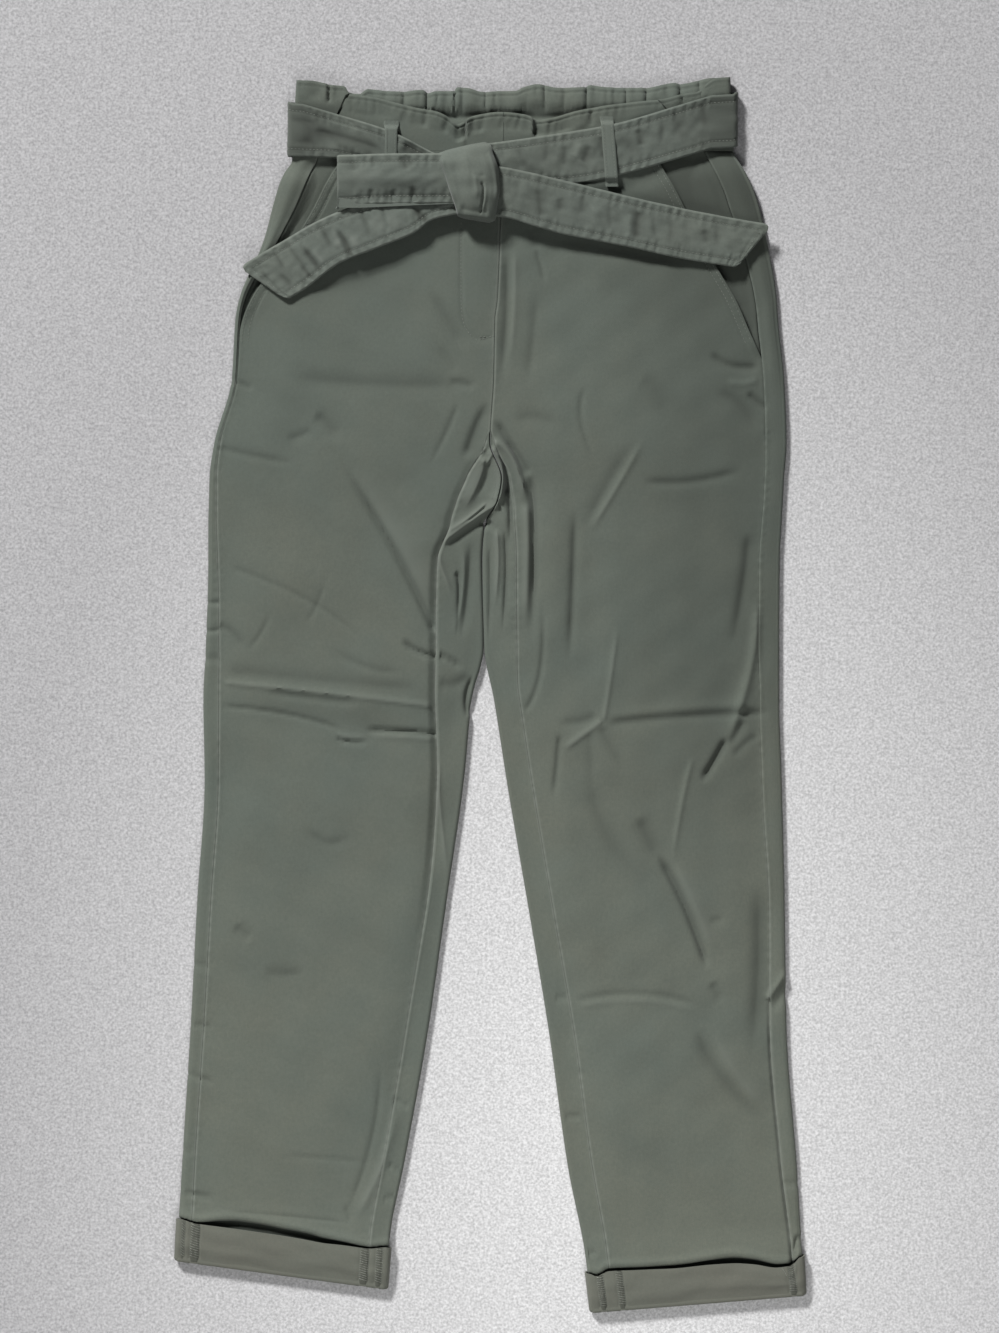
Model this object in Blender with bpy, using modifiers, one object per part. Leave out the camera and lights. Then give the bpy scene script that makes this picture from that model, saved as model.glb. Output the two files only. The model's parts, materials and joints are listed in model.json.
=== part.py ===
"""Paperbag waist trousers with a tied belt and turned-up cuffs, laid flat.

One object for each piece that a maker cuts and sews. Sizes below are in
millimetres: +X is the wearer's left, +Y points from the hems to the waist and
+Z up, with the trousers lying on their back on the plane Z = 0.
"""

import bmesh
import bpy
import numpy as np

MM = 0.001

# ---------------------------------------------------------------- cloth sizes
WALL = 1.2            # stretch twill with its seams, as a wall
BELT_WALL = 2.0       # the belt is the cloth doubled
BELT_CROWN = 0.5      # how much its middle stands over its edges
LOOP_WALL = 1.0       # pressed belt loops
CUFF_WALL = 1.4       # turned-up hem
GAP = 0.3             # between two pieces that meet
FOLD = 2.7            # outside radius of the pressed side folds
BELT_LIFT = 3.6       # the waist lies on the belt that passes behind it
CUFF_INSET = 2.0      # the leg inside a cuff lies this far in from its face
CUFF_HEIGHT = 34.0
CUFF_TURN = 4.6       # how far a cuff's inner wall runs back up the leg
WAIST_Y = 442.0       # seam between the legs and the paperbag band
BAND_TOP = 488.0      # about where the band's side seams end
CENTRE_X = 11.0       # centre front and centre back at the waist
WAIST_EASE = 42.0     # length over which the waist comes down to the floor
CROTCH_DOWN = 236.0   # crotch point, measured down from the waist seam
BELT_COVER = 38.0     # the belt crosses the front this far down, so the cloth is smooth there
LOFT_REACH = 30.0     # in from a side fold, where the upper face has risen to its loft
SEAM_CALM = 9.0       # folds fade out this close to a side fold
LEAST_HEIGHT = 3.2    # of the upper face over the under face, in the deepest fold


def table(columns, *rows):
    """A table of sections: one array for each named column."""
    return {name: np.array(values, float) for name, values in zip(columns.split(), zip(*rows))}


def smooth(at, xs, ys):
    """A curve through the points (xs, ys) that never swings past them."""
    step = np.diff(xs)
    slope = np.diff(ys) / step
    same = slope[:-1] * slope[1:] > 0
    total = np.where(same, slope[:-1] + slope[1:], 1.0)
    inner = np.where(same, 2 * slope[:-1] * slope[1:] / total, 0.0)
    tangent = np.concatenate([slope[:1], inner, slope[-1:]])
    i = np.clip(np.searchsorted(xs, at) - 1, 0, len(step) - 1)
    t = np.clip((at - xs[i]) / step[i], 0, 1)
    start = ys[i] * (2 * t**3 - 3 * t**2 + 1) + tangent[i] * step[i] * (t**3 - 2 * t**2 + t)
    return start + ys[i + 1] * (3 * t**2 - 2 * t**3) + tangent[i + 1] * step[i] * (t**3 - t**2)


def ease(t):
    """0 to 1, level at both ends."""
    t = np.clip(t, 0, 1)
    return t * t * (3 - 2 * t)


# ------------------------------------------------------------- leg sections
# down: below the waist seam. outer, inner: where the cloth folds or, above the
# crotch, the centre line. side_seam, inseam: how far in from those folds the
# seams lie on the upper face. loft: height of the upper face between them.
LEG = "down outer_x outer_y inner_x inner_y side_seam inseam loft"
RIGHT_LEG = table(
    LEG,
    (0, -160, 442, 11, 442, 22, 0, 5.4),
    (7, -161.2, 435, 10.5, 435, 21, 0, 5.4),
    (16, -167, 426, 10, 426, 22, 0, 5.6),
    (39, -175, 403, 9, 403, 20, 0, 6.0),
    (72, -184, 370, 8, 370, 12, 0, 6.2),
    (120, -204, 322, 6, 322, 5, 0, 6.2),
    (136, -207, 306, 4, 306, 4.5, 0, 6.2),
    (185, -210, 257, 3, 257, 4.5, 0, 6.2),
    (236, -224, 206, 0, 206, 5, 3.6, 6.2),
    (265, -228, 177, 5, 177, 6, 24, 6.2),
    (301, -229, 141, -4, 141, 7, 28, 6.2),
    (331, -229, 111, -6.5, 111, 8, 36, 6.2),
    (402, -231, 40, -5, 40, 11, 39, 6.2),
    (445, -233, -3, -14.5, -3, 13, 30, 6.2),
    (510, -232, -68, -21, -68, 11.5, 22, 6.2),
    (608, -238, -166, -35, -166, 11.5, 16, 6.2),
    (710, -243, -263, -50, -271, 11, 18, 6.2),
    (812, -249, -360, -69, -377, 10.5, 17, 6.2),
    (870, -252.5, -419, -81, -438, 11, 16, 6.0),
    (913, -254.5, -453.8, -84, -476.8, 12, 16, 5.4),
)
LEFT_LEG = table(
    LEG,
    (0, 198, 442, 11, 442, 24, 0, 5.4),
    (16, 207, 426, 10, 426, 25, 0, 5.6),
    (39, 217, 403, 9, 403, 25, 0, 6.0),
    (72, 225, 370, 8, 370, 22, 0, 6.2),
    (120, 233, 322, 6, 322, 18, 0, 6.2),
    (136, 234, 306, 4, 306, 17, 0, 6.2),
    (185, 239, 257, 3, 257, 17, 0, 6.2),
    (236, 241, 206, 0, 206, 17.5, 3.6, 6.2),
    (265, 239, 177, 5, 177, 16, 10, 6.2),
    (301, 237, 141, -4, 141, 16.5, 24, 6.2),
    (331, 235.5, 111, -6.5, 111, 17, 28, 6.2),
    (402, 235, 40, -5, 40, 17, 27, 6.2),
    (445, 235, -3, 3, -3, 16, 21, 6.2),
    (510, 237, -68, 14, -73, 16, 20.5, 6.2),
    (608, 239.5, -170, 32, -178, 13, 20, 6.2),
    (710, 241, -271, 48, -275, 14, 20.5, 6.2),
    (812, 249, -378, 63, -382, 13, 20, 6.2),
    (870, 253, -444, 77, -453, 9, 18, 6.0),
    (913, 255, -481.8, 82, -495.8, 8, 17, 5.4),
)
LEG_ROWS = np.concatenate([
    np.linspace(0, 210, 9),
    [CROTCH_DOWN - 3],
    np.linspace(CROTCH_DOWN, 402, 9),
    np.linspace(422, 620, 11),
    np.linspace(650, 913, 9),
])
CROTCH_ROW = int(np.searchsorted(LEG_ROWS, CROTCH_DOWN))

# The largest folds: a ridge (rise over 0) or a trough along a line.
FOLDS = table(
    "x0 y0 x1 y1 width rise",
    (-126, 195, -50, 56, 15, -3.2),    # across the right thigh to the inner knee
    (-222, 10, -46, -8, 11, 2.8),      # right knee, the long ridge
    (-215, -14, -46, -33, 11, -2.4),   # right knee, the trough below it
    (-68, 178, -46, 108, 15, 2.8),     # roll of the right inner thigh
    (-62, -30, -64, -200, 12, 2.0),    # it runs on down beside the inseam
    (34, 190, 40, 22, 12, -3.0),       # left inner thigh, the deep fold
    (54, 176, 50, 0, 12, 2.6),         # and its roll
    (78, 150, 74, 6, 13, -1.8),
    (106, 66, 88, -26, 14, 2.4),       # left knee
    (92, -22, 230, -12, 12, -2.2),
    (206, 50, 168, -74, 14, -3.0),
    (190, 76, 216, -10, 12, 2.6),
    (128, -112, 182, -230, 15, -3.0),  # left shin, the long slant
    (160, -258, 216, -356, 16, -2.0),
    (-6, 380, -8, 290, 14, 1.8),       # fly
    (30, 380, 22, 266, 13, 2.0),       # pleat let out below the waist
)


def fold_relief(x, y):
    """Height that the large folds add at (x, y): a bell across each line, eased at its ends."""
    height = np.zeros(np.shape(x))
    for k in range(len(FOLDS["x0"])):
        start = np.array([FOLDS["x0"][k], FOLDS["y0"][k]])
        along = np.array([FOLDS["x1"][k], FOLDS["y1"][k]]) - start
        length = np.hypot(*along)
        along = along / length
        run = (x - start[0]) * along[0] + (y - start[1]) * along[1]
        off = (x - start[0]) * along[1] - (y - start[1]) * along[0]
        ends = ease(run / (0.3 * length)) * ease((length - run) / (0.3 * length))
        height = height + FOLDS["rise"][k] * ends * np.exp(-((off / FOLDS["width"][k]) ** 2))
    return height


def floor_lift(down):
    """How far the back lies above the floor: on the belt at the waist, inside the cuff at the hem."""
    waist = BELT_LIFT * (1 - ease((down - 16) / WAIST_EASE))
    hem = LEG_ROWS[-1]
    return waist + CUFF_INSET * ease((down - (hem - CUFF_HEIGHT - 26)) / 26)


class Leg:
    """One leg's sections, and the points of its upper and under faces."""

    def __init__(self, sections, side):
        column = {k: smooth(LEG_ROWS, sections["down"], v) for k, v in sections.items()}
        self.side = side
        self.outer = np.column_stack([column["outer_x"], column["outer_y"]])
        self.inner = np.column_stack([column["inner_x"] + side * 0.5 * GAP, column["inner_y"]])
        self.width = np.linalg.norm(self.inner - self.outer, axis=1)
        self.across = (self.inner - self.outer) / self.width[:, None]
        self.side_seam, self.inseam = column["side_seam"], column["inseam"]
        self.loft = column["loft"]
        self.lift = floor_lift(LEG_ROWS)

    def place(self, from_outer, row, height):
        """Points of a row, each this far in from the outer fold and this high over the lift."""
        plan = self.outer[row] + np.multiply.outer(from_outer, self.across[row])
        return np.column_stack([plan, self.lift[row] + height])

    def upper(self, from_outer, row):
        """The upper face: it rises from the side folds to its loft and carries the large folds."""
        edge = from_outer - FOLD
        if row >= CROTCH_ROW:
            edge = np.minimum(edge, self.width[row] - from_outer - FOLD)
        loft = 2 * FOLD + (self.loft[row] - 2 * FOLD) * ease(edge / LOFT_REACH)
        plan = self.place(from_outer, row, 0 * from_outer)
        relief = fold_relief(plan[:, 0], plan[:, 1]) * ease(edge / SEAM_CALM)
        relief = relief * ease((LEG_ROWS[row] - BELT_COVER) / 16)
        return self.place(from_outer, row, np.maximum(loft + relief, LEAST_HEIGHT))

    def under(self, from_outer, row):
        return self.place(from_outer, row, 0 * from_outer)

    def fold(self, turn, row, at_outer):
        """Points of a side fold: turn 0 is on the upper face, 1 on the under face."""
        reach = FOLD * (1 - np.sin(np.pi * turn))
        from_outer = reach if at_outer else self.width[row] - reach
        return self.place(from_outer, row, FOLD * (1 + np.cos(np.pi * turn)))

    def front(self, outer_edge, columns=16):
        """Upper face between two seams. outer_edge gives how far in it starts, for each row."""
        points = []
        for row in range(len(LEG_ROWS)):
            start = outer_edge[row] + 0.5 * GAP
            seam_gap = 0.5 * GAP if row >= CROTCH_ROW else 0.0
            end = self.width[row] - self.inseam[row] - seam_gap
            points.append(self.upper(np.linspace(start, end, columns), row))
        return np.array(points)

    def back(self, underside=6, turns=4):
        """From the side seam over the outer fold, under the leg and up to the inseam.

        Above the crotch the seat lies flat to the centre seam, so its rows
        stop at the column returned with the points.
        """
        turn = np.linspace(0, 1, turns)
        points = []
        for row in range(len(LEG_ROWS)):
            far = self.width[row] - (FOLD if row >= CROTCH_ROW else 0.0)
            seam = max(self.inseam[row] - 0.5 * GAP, FOLD + 2 * GAP)
            stretches = [
                self.upper(np.linspace(self.side_seam[row] - 0.5 * GAP, FOLD, 3)[:-1], row),
                self.fold(turn, row, True),
                self.under(np.linspace(FOLD, far, underside + 1)[1:], row),
                self.fold(turn[::-1][1:], row, False),
                self.upper(self.width[row] - np.linspace(FOLD, seam, 3)[1:], row),
            ]
            points.append(np.concatenate(stretches))
        seat_end = sum(len(stretch) for stretch in stretches[:3])
        return np.array(points), seat_end


# ------------------------------------------------------------------- pockets
# down: below the waist seam. right, left: how far in from the side seam the
# slanted pocket mouth lies on each front.
POCKET = table(
    "down right left",
    (0, 20, 42), (30, 16, 39), (62, 14, 33), (95, 10, 25),
    (120, 5, 16), (150, 0, 6), (168, 0, 0),
)
FACING_DROP = WALL + GAP    # the facing lies under the front's wall
FACING_UNDER = 16.0         # and runs on behind it this far
MOUTH_LEAST = 5.0           # where the mouth is nearer the side seam, all of the facing is behind,
MOUTH_WIDE = 14.0           # and where it is this far off, the facing reaches the seam's own height


def pocket_mouth(leg, name):
    """How far in from the outer fold the front begins: at the pocket mouth, then the side seam."""
    return leg.side_seam + smooth(LEG_ROWS, POCKET["down"], POCKET[name])


def pocket_facing(leg, name, columns=6):
    """The facing that shows between the side seam and the mouth, and runs on behind the front."""
    mouth = smooth(LEG_ROWS, POCKET["down"], POCKET[name])
    points = []
    for row in np.flatnonzero(mouth > GAP):
        along = np.linspace(0, mouth[row] + FACING_UNDER, columns)
        line = leg.upper(leg.side_seam[row] + GAP + along, row)
        at_seam = 1 - ease((mouth[row] - MOUTH_LEAST) / (MOUTH_WIDE - MOUTH_LEAST))
        behind = ease(along / (0.6 * mouth[row]))
        line[:, 2] -= FACING_DROP * (at_seam + (1 - at_seam) * behind)
        points.append(line)
    return np.array(points)


# ------------------------------------------------------------- paperbag band
# Upper edge of the band. The front sags in the middle, where two tucks meet.
FRONT_EDGE = table(
    "x y",
    (-139, 490), (-114, 487), (-77, 481), (-41, 473), (-28, 466), (-18, 471), (11, 473),
    (28, 471), (40, 466), (52, 470), (71, 476), (99, 481), (135, 483), (178, 485),
)
BACK_EDGE = table(
    "x y", (-157, 499), (-113, 493), (-71, 491), (-2, 491), (38, 494), (109, 495), (156, 497), (195, 502),
)
WRAP_EDGE = table(
    "x y", (-157, 499.5), (-133, 498), (-114, 488), (136, 484), (170, 491), (183, 501), (195, 502),
)
BAND_OUTER = table("y right left", (WAIST_Y, -160, 198), (470, -158.5, 196), (490, -157, 195))
BAND_SEAM = table("y right left", (WAIST_Y, -138, 174), (470, -123, 150), (BAND_TOP, -114, 136))
BAND_HEIGHT = 2 * FOLD
TUCKS = table("x depth", (-19, 1.5), (35, 1.5))
TUCK_SHARP, TUCK_SOFT = 2.5, 26.0    # a tuck drops off quickly, and comes back slowly outwards
GATHERS = 15           # ruffle waves across the back
GATHER_HEIGHT = 1.3
RUFFLE_WAVE = 1.8      # how far the ruffle's edge rises and falls
RUFFLE_FROM = 0.6      # share of the band's height where the casing ends and the ruffle starts
EDGE_DROOP = 0.8       # the ruffle's edge comes down a little behind


def seam_x(name, share):
    """x of a side seam of the band at a share of its height."""
    return smooth(WAIST_Y + share * (BAND_TOP - WAIST_Y), BAND_SEAM["y"], BAND_SEAM[name])


def tuck_dip(x):
    """How far the tucks lower the front band: sharply on the centre's side, softly outwards."""
    dip = np.zeros(np.shape(x))
    for tuck, depth in zip(TUCKS["x"], TUCKS["depth"]):
        outward = (x - tuck) * np.sign(tuck - CENTRE_X)
        dip = dip + depth * ease(outward / TUCK_SHARP) * (1 - ease((outward - TUCK_SHARP) / TUCK_SOFT))
    return dip


def band_front(side, columns):
    """Front band between the centre front and a side seam, -1 the right one and 1 the left one."""
    points = []
    for share in np.linspace(0, 1, 5):
        centre = CENTRE_X + side * 0.5 * GAP
        seam = seam_x("left" if side > 0 else "right", share) - side * 0.5 * GAP
        x = np.linspace(min(centre, seam), max(centre, seam), columns)
        top = smooth(x, FRONT_EDGE["x"], FRONT_EDGE["y"])
        y = WAIST_Y + 0.5 * GAP + share * (top - WAIST_Y)
        points.append(np.column_stack([x, y, BELT_LIFT + BAND_HEIGHT - tuck_dip(x) * share]))
    return np.array(points)


def band_back_row(share, columns, turns, strip):
    """One level of the back band: each point's x, height, and how much it ripples, 0 to 1."""
    level = WAIST_Y + share * (BAND_TOP - WAIST_Y)
    right, left = (smooth(level, BAND_OUTER["y"], BAND_OUTER[name]) for name in ("right", "left"))
    lift = BELT_LIFT - EDGE_DROOP * ease((share - 0.84) / 0.16)
    turn = np.linspace(0, 1, turns)
    fold_x = FOLD * (1 - np.sin(np.pi * turn))
    fold_z = FOLD * (1 + np.cos(np.pi * turn)) + BELT_LIFT + (lift - BELT_LIFT) * turn
    over_right = np.linspace(seam_x("right", share) - 0.5 * GAP, right + FOLD, strip)[:-1]
    over_left = np.linspace(left - FOLD, seam_x("left", share) + 0.5 * GAP, strip)[1:]
    behind = np.linspace(right + FOLD, left - FOLD, columns + 1)[1:-1]
    over_z = np.full(strip - 1, BELT_LIFT + BAND_HEIGHT)
    x = np.concatenate([over_right, right + fold_x, behind, left - fold_x[::-1], over_left])
    z = np.concatenate([over_z, fold_z, np.full(behind.size, lift), fold_z[::-1], over_z])
    calm = np.zeros(strip - 1 + turns)
    inward = np.minimum(behind - right, left - behind) - FOLD
    return x, z, np.concatenate([calm, ease(inward / 18), calm])


def band_back(columns=58, turns=4, strip=4):
    """The gathered back band: over the right side fold, behind, and over the left one.

    Above the casing its ripples are a sine with a second, slower one on it.
    """
    points = []
    for share in (0, 0.35, 0.68, 0.84, 1.0):
        x, z, ripple = band_back_row(share, columns, turns, strip)
        behind = smooth(x, BACK_EDGE["x"], BACK_EDGE["y"])
        wrapped = smooth(x, WRAP_EDGE["x"], WRAP_EDGE["y"])
        y = WAIST_Y + 0.5 * GAP + share * (np.where(ripple > 0, behind, wrapped) - WAIST_Y)
        phase = 2 * np.pi * GATHERS * (x - x.min()) / np.ptp(x)
        strength = ripple * ease((share - RUFFLE_FROM) / 0.3)
        swell = 0.5 * (1 + np.sin(phase) + 0.35 * np.sin(1.7 * phase + 1))
        y = y + RUFFLE_WAVE * np.sin(0.5 * phase + 0.8) * strength
        points.append(np.column_stack([x, y, z + GATHER_HEIGHT * swell * strength]))
    return np.array(points)


# ---------------------------------------------------------------------- belt
# Each stretch of the belt lies between an upper and a lower edge. height is
# its upper face's, above the floor.
STRETCH = "upper_x upper_y lower_x lower_y height"
RIGHT_RUN = table(
    STRETCH,
    (-28, 434, -26, 408, 14.0), (-43, 439, -43, 411, 13.2), (-81, 458, -81, 424, 11.5),
    (-127, 472.5, -127, 436, 11.4), (-152, 481, -152, 437, 11.4),
)
LEFT_RUN = table(
    STRETCH,
    (-8, 447, -8, 410, 14.0), (5, 448.5, 5, 411, 13.2), (69, 458, 69, 415, 11.6),
    (102, 464, 102, 421.5, 11.5), (180, 487, 180, 443.5, 11.4),
)
BOW_LOOP = table(
    STRETCH,
    (-24, 438, -24, 398, 26.5), (-60, 438, -60, 398, 26.0), (-90, 438, -90, 398, 24.0),
    (-112, 437.5, -112, 397, 21.5),
)
RIGHT_TAIL = table(
    STRETCH,
    (-24, 415, -22, 391, 16.5), (-53, 415, -47, 385, 17.0), (-73, 406, -61, 375, 16.5),
    (-110, 397, -93, 362, 14.5), (-140, 385, -121, 351, 12.2), (-170, 368, -150, 330, 10.2),
    (-204, 348, -165, 321, 9.6),
)
LEFT_TAIL = table(
    STRETCH,
    (-4, 430, -6, 389, 19.5), (16, 427, 12, 387, 19.0), (66, 416, 56, 374.5, 16.0),
    (120, 403, 110, 364, 14.4), (162, 394, 154, 354.5, 12.8), (199, 387, 188, 349, 12.4),
    (229, 382, 200, 347, 13.0),
)
# How the belt turns round each side, and the bow round its end: the fold's
# outer edge, the strip's edges there, and where its turned part ends.
TURN = "fold_x upper_y lower_y inner_x"
RUN_FOLD = table(TURN, (-164.4, 485, 438, -135), (201.2, 490.5, 446, 172))
BOW_FOLD = table(TURN, (-123.5, 437, 395, -105))
BOW_LOW = 15.2         # the loop's under layer, clear of the belt below it
BOW_BENEATH = table(
    STRETCH, (-80, 437, -80, 396, 16.6), (-55, 437, -55, 397, 18.0), (-24, 436, -24, 398, 18.6),
)
BELT_BACK = table("x lower upper", (-134.5, 440, 481), (18, 436, 476), (171.5, 446, 487))
BACK_LOOPS = {"right": -96.0, "centre": 18.0, "left": 132.0}
FRONT_LOOPS = {
    "right": (RIGHT_RUN, (-80, 460.5), (-80.5, 421.5)),    # its middle, at the belt's two edges
    "left": (LEFT_RUN, (95, 464), (98.5, 419)),
}
LOOP_WIDTH = 10.0


def spaced_rows(stretch, count):
    """The stretch's edges at evenly spread rows."""
    at = np.linspace(0, len(stretch["height"]) - 1, count)
    index = np.arange(len(stretch["height"]), dtype=float)
    return {k: smooth(at, index, v) for k, v in stretch.items()}


def ribbon(stretch, count, columns=5, crown=BELT_CROWN):
    """A strip of cloth between its two edges, a little higher along its middle."""
    row = spaced_rows(stretch, count)
    share = np.linspace(0, 1, columns)[None, :]
    x = row["upper_x"][:, None] * (1 - share) + row["lower_x"][:, None] * share
    y = row["upper_y"][:, None] * (1 - share) + row["lower_y"][:, None] * share
    z = row["height"][:, None] + crown * np.sin(np.pi * share)
    return np.stack([x, y, z], axis=2)


def turned_under(last, turned, low, turns=8):
    """Rows that take a strip from its last row round a fold and back beneath itself.

    turned gives the fold's outer edge, the strip's edges there, and where the strip ends.
    low is the height of the strip's outer face beneath, so the fold is a half circle.
    """
    radius = 0.5 * (last[0, 2] - low)
    outward = np.sign(turned["fold_x"] - turned["inner_x"])
    centre_x = turned["fold_x"] - outward * radius
    y = np.linspace(turned["upper_y"], turned["lower_y"], len(last))
    rows = []
    for turn in np.linspace(0, 1, turns):
        x = centre_x + outward * radius * np.sin(np.pi * turn)
        z = low + radius * (1 + np.cos(np.pi * turn))
        rows.append(np.column_stack([0 * y + x, last[:, 1] + (y - last[:, 1]) * ease(2 * turn), 0 * y + z]))
    for x in np.linspace(centre_x, turned["inner_x"], 3)[1:]:
        rows.append(np.column_stack([0 * y + x, y, 0 * y + low]))
    return np.array(rows)


def folded_strip(stretch, turned, low, count, turns=8):
    """A stretch of the belt that turns round a fold at its last row and runs back beneath."""
    points = ribbon(stretch, count)
    points[-1, :, 2] = stretch["height"][-1]
    return np.concatenate([points, turned_under(points[-1], turned, low, turns)])


def bow():
    """The loop of the bow: out from the knot, round its end and back beneath."""
    turned = {name: column[0] for name, column in BOW_FOLD.items()}
    return np.concatenate([
        folded_strip(BOW_LOOP, turned, BOW_LOW, 7, turns=7),
        ribbon(BOW_BENEATH, 4, crown=0.0),
    ])


def belt_back_edges(x):
    """y of the upper and lower edges of the belt behind the waist."""
    return [smooth(x, BELT_BACK["x"], BELT_BACK[edge]) for edge in ("upper", "lower")]


def belt_back(columns=4):
    """The belt behind the waist, riding over its three loops."""
    stations = [(BELT_BACK["x"][0], 0.0)]
    for at in BACK_LOOPS.values():
        stations += [(at - 20, 0.0), (at - 6.5, 1.0), (at + 6.5, 1.0), (at + 20, 0.0)]
    stations.append((BELT_BACK["x"][-1], 0.0))
    points = []
    for x, over in stations:
        upper, lower = belt_back_edges(x)
        y = np.linspace(upper, lower, columns)
        points.append(np.column_stack([0 * y + x, y, 0 * y + (LOOP_WALL + GAP) * over]))
    return np.array(points)


# A belt loop along its length: its ends lie flat, and it steps over each edge of the belt.
# beyond: how far past the belt's edge. over: 0 on the trousers, 1 on the belt.
LOOP_STEP = table("beyond over", (6.0, 0.0), (2.8, 0.1), (1.5, 0.9), (-1.5, 1.0))


def belt_loop(upper, lower, flat, raised):
    """A strip over the belt, between heights flat and raised. upper, lower: its middle at the edges."""
    upper, lower = np.array(upper, float), np.array(lower, float)
    along = (lower - upper) / np.linalg.norm(lower - upper)
    beyond = LOOP_STEP["beyond"][:, None]
    middles = np.concatenate([upper - along * beyond, lower + along * beyond[::-1]])
    over = np.concatenate([LOOP_STEP["over"], LOOP_STEP["over"][::-1]])
    z = flat + (raised - flat) * over
    half = 0.5 * LOOP_WIDTH
    return np.stack([np.column_stack([middles + [side * half, 0], z]) for side in (-1, 1)], axis=1)


def front_loop(run, upper, lower):
    """A loop of the front, as high as the belt's own surface on the side nearer the knot."""
    nearest = abs(upper[0]) - 0.5 * LOOP_WIDTH
    belt_top = smooth(nearest, abs(run["upper_x"]), run["height"]) + BELT_CROWN
    flat = BELT_LIFT + BAND_HEIGHT + GAP + LOOP_WALL
    return belt_loop(upper, lower, flat, belt_top + GAP + LOOP_WALL)


def back_loop(x):
    """A loop of the back, whose outer face is the lower one, so its columns run the other way."""
    upper, lower = belt_back_edges(x)
    return belt_loop((x, upper), (x, lower), BELT_LIFT - GAP - LOOP_WALL, 0.0)[:, ::-1]


# ---------------------------------------------------------------------- knot
# Sections down the wrap of the knot, from where it comes over the top.
KNOT = table(
    "left_x left_y right_x right_y top",
    (-37, 441, -4, 448.5, 20), (-42, 436.5, 1, 443.5, 27), (-40.5, 429, 4, 436, 32.5),
    (-36, 418, 7, 425, 35), (-32, 406, 8, 411, 34.5), (-28, 395, 6, 396, 31),
    (-26, 389, 4, 386, 26), (-22, 388, 0, 385, 20),
)
KNOT_LOW = 9.5
KNOT_SQUARE = 3.2      # 2 is an oval section, and more is squarer


def knot_points(grow=0.0, around=18):
    """Sections across the wrap: each a squared-off oval from its foot to its top.

    grow makes it larger all round, for cutting the belt clear of it.
    """
    angle = np.linspace(0, 2 * np.pi, around, endpoint=False)
    power = KNOT_SQUARE
    reach = (abs(np.cos(angle)) ** power + abs(np.sin(angle)) ** power) ** (-1 / power)
    rows = []
    for left_x, left_y, right_x, right_y, top in zip(*KNOT.values()):
        middle = np.array([left_x + right_x, left_y + right_y]) / 2
        half = np.array([right_x - left_x, right_y - left_y]) / 2
        half = half * (1 + grow / np.hypot(*half))
        plan = middle + np.multiply.outer(np.cos(angle) * reach, half)
        z_half = 0.5 * (top - KNOT_LOW) + grow
        rows.append(np.column_stack([plan, 0.5 * (top + KNOT_LOW) + z_half * np.sin(angle) * reach]))
    rows[0][:, 1] += grow
    rows[-1][:, 1] -= grow
    return np.array(rows)


# --------------------------------------------------------------------- cuffs
CUFF_STAND = 1.6        # how far the free edge stands off the leg,
CUFF_FLAT = 8.0         # from this height over the fold
CUFF_TURN_RADIUS = 1.75
# height above the hem's fold, and how far in from the cuff's outer face
CUFF_PROFILE = table(
    "height inset",
    (CUFF_HEIGHT, 0), (0.55 * CUFF_HEIGHT, 0), (2.0, 0), (0, CUFF_TURN_RADIUS),
    (2.0, 2 * CUFF_TURN_RADIUS), (CUFF_TURN, 2 * CUFF_TURN_RADIUS),
)


def cuff(leg, columns=7, turns=4):
    """A ring round the leg: down its outer face, and at the hem turned in and back up inside."""
    hem = np.array([leg.outer[-1], leg.inner[-1]])
    up_leg = np.array([leg.outer[-3], leg.inner[-3]]) - hem
    up_leg = up_leg / np.linalg.norm(up_leg, axis=1)[:, None]
    middle = FOLD + CUFF_INSET
    bend = np.pi * np.linspace(0, 1, turns + 1)[1:-1]
    rows = []
    for height, inset in zip(CUFF_PROFILE["height"], CUFF_PROFILE["inset"]):
        # the leg itself ends CUFF_TURN and a gap above the fold
        outer, inner = hem + up_leg * (height - CUFF_TURN - GAP)
        width = np.linalg.norm(inner - outer)
        radius = middle - inset
        span = np.linspace(FOLD, width - FOLD, columns)
        stand = CUFF_STAND * ease((height - CUFF_FLAT) / (CUFF_HEIGHT - CUFF_FLAT))
        bulge = radius * np.sin(bend)
        from_outer = np.concatenate([span, width - FOLD + bulge, span[::-1], FOLD - bulge])
        puff = stand * np.sin(np.pi * np.linspace(0, 1, columns))
        rise = radius * np.cos(bend)
        z = middle + np.concatenate([radius + puff, rise, 0 * span - radius, rise[::-1]])
        plan = outer + np.multiply.outer(from_outer, (inner - outer) / width)
        rows.append(np.column_stack([plan, z]))
    return np.array(rows)


# ------------------------------------------------------------ Blender objects
def new_material(name, colour, roughness):
    material = bpy.data.materials.new(name)
    material.use_nodes = True
    shader = material.node_tree.nodes["Principled BSDF"]
    shader.inputs["Base Color"].default_value = (*colour, 1)
    shader.inputs["Roughness"].default_value = roughness
    shader.inputs["Metallic"].default_value = 0
    return material


def new_collection(name):
    collection = bpy.data.collections.new(name)
    bpy.context.scene.collection.children.link(collection)
    return collection


def drop_loose(mesh):
    """Removes points that no face uses."""
    shape = bmesh.new()
    shape.from_mesh(mesh)
    bmesh.ops.delete(shape, geom=[v for v in shape.verts if not v.link_faces], context="VERTS")
    shape.to_mesh(mesh)
    shape.free()


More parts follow.
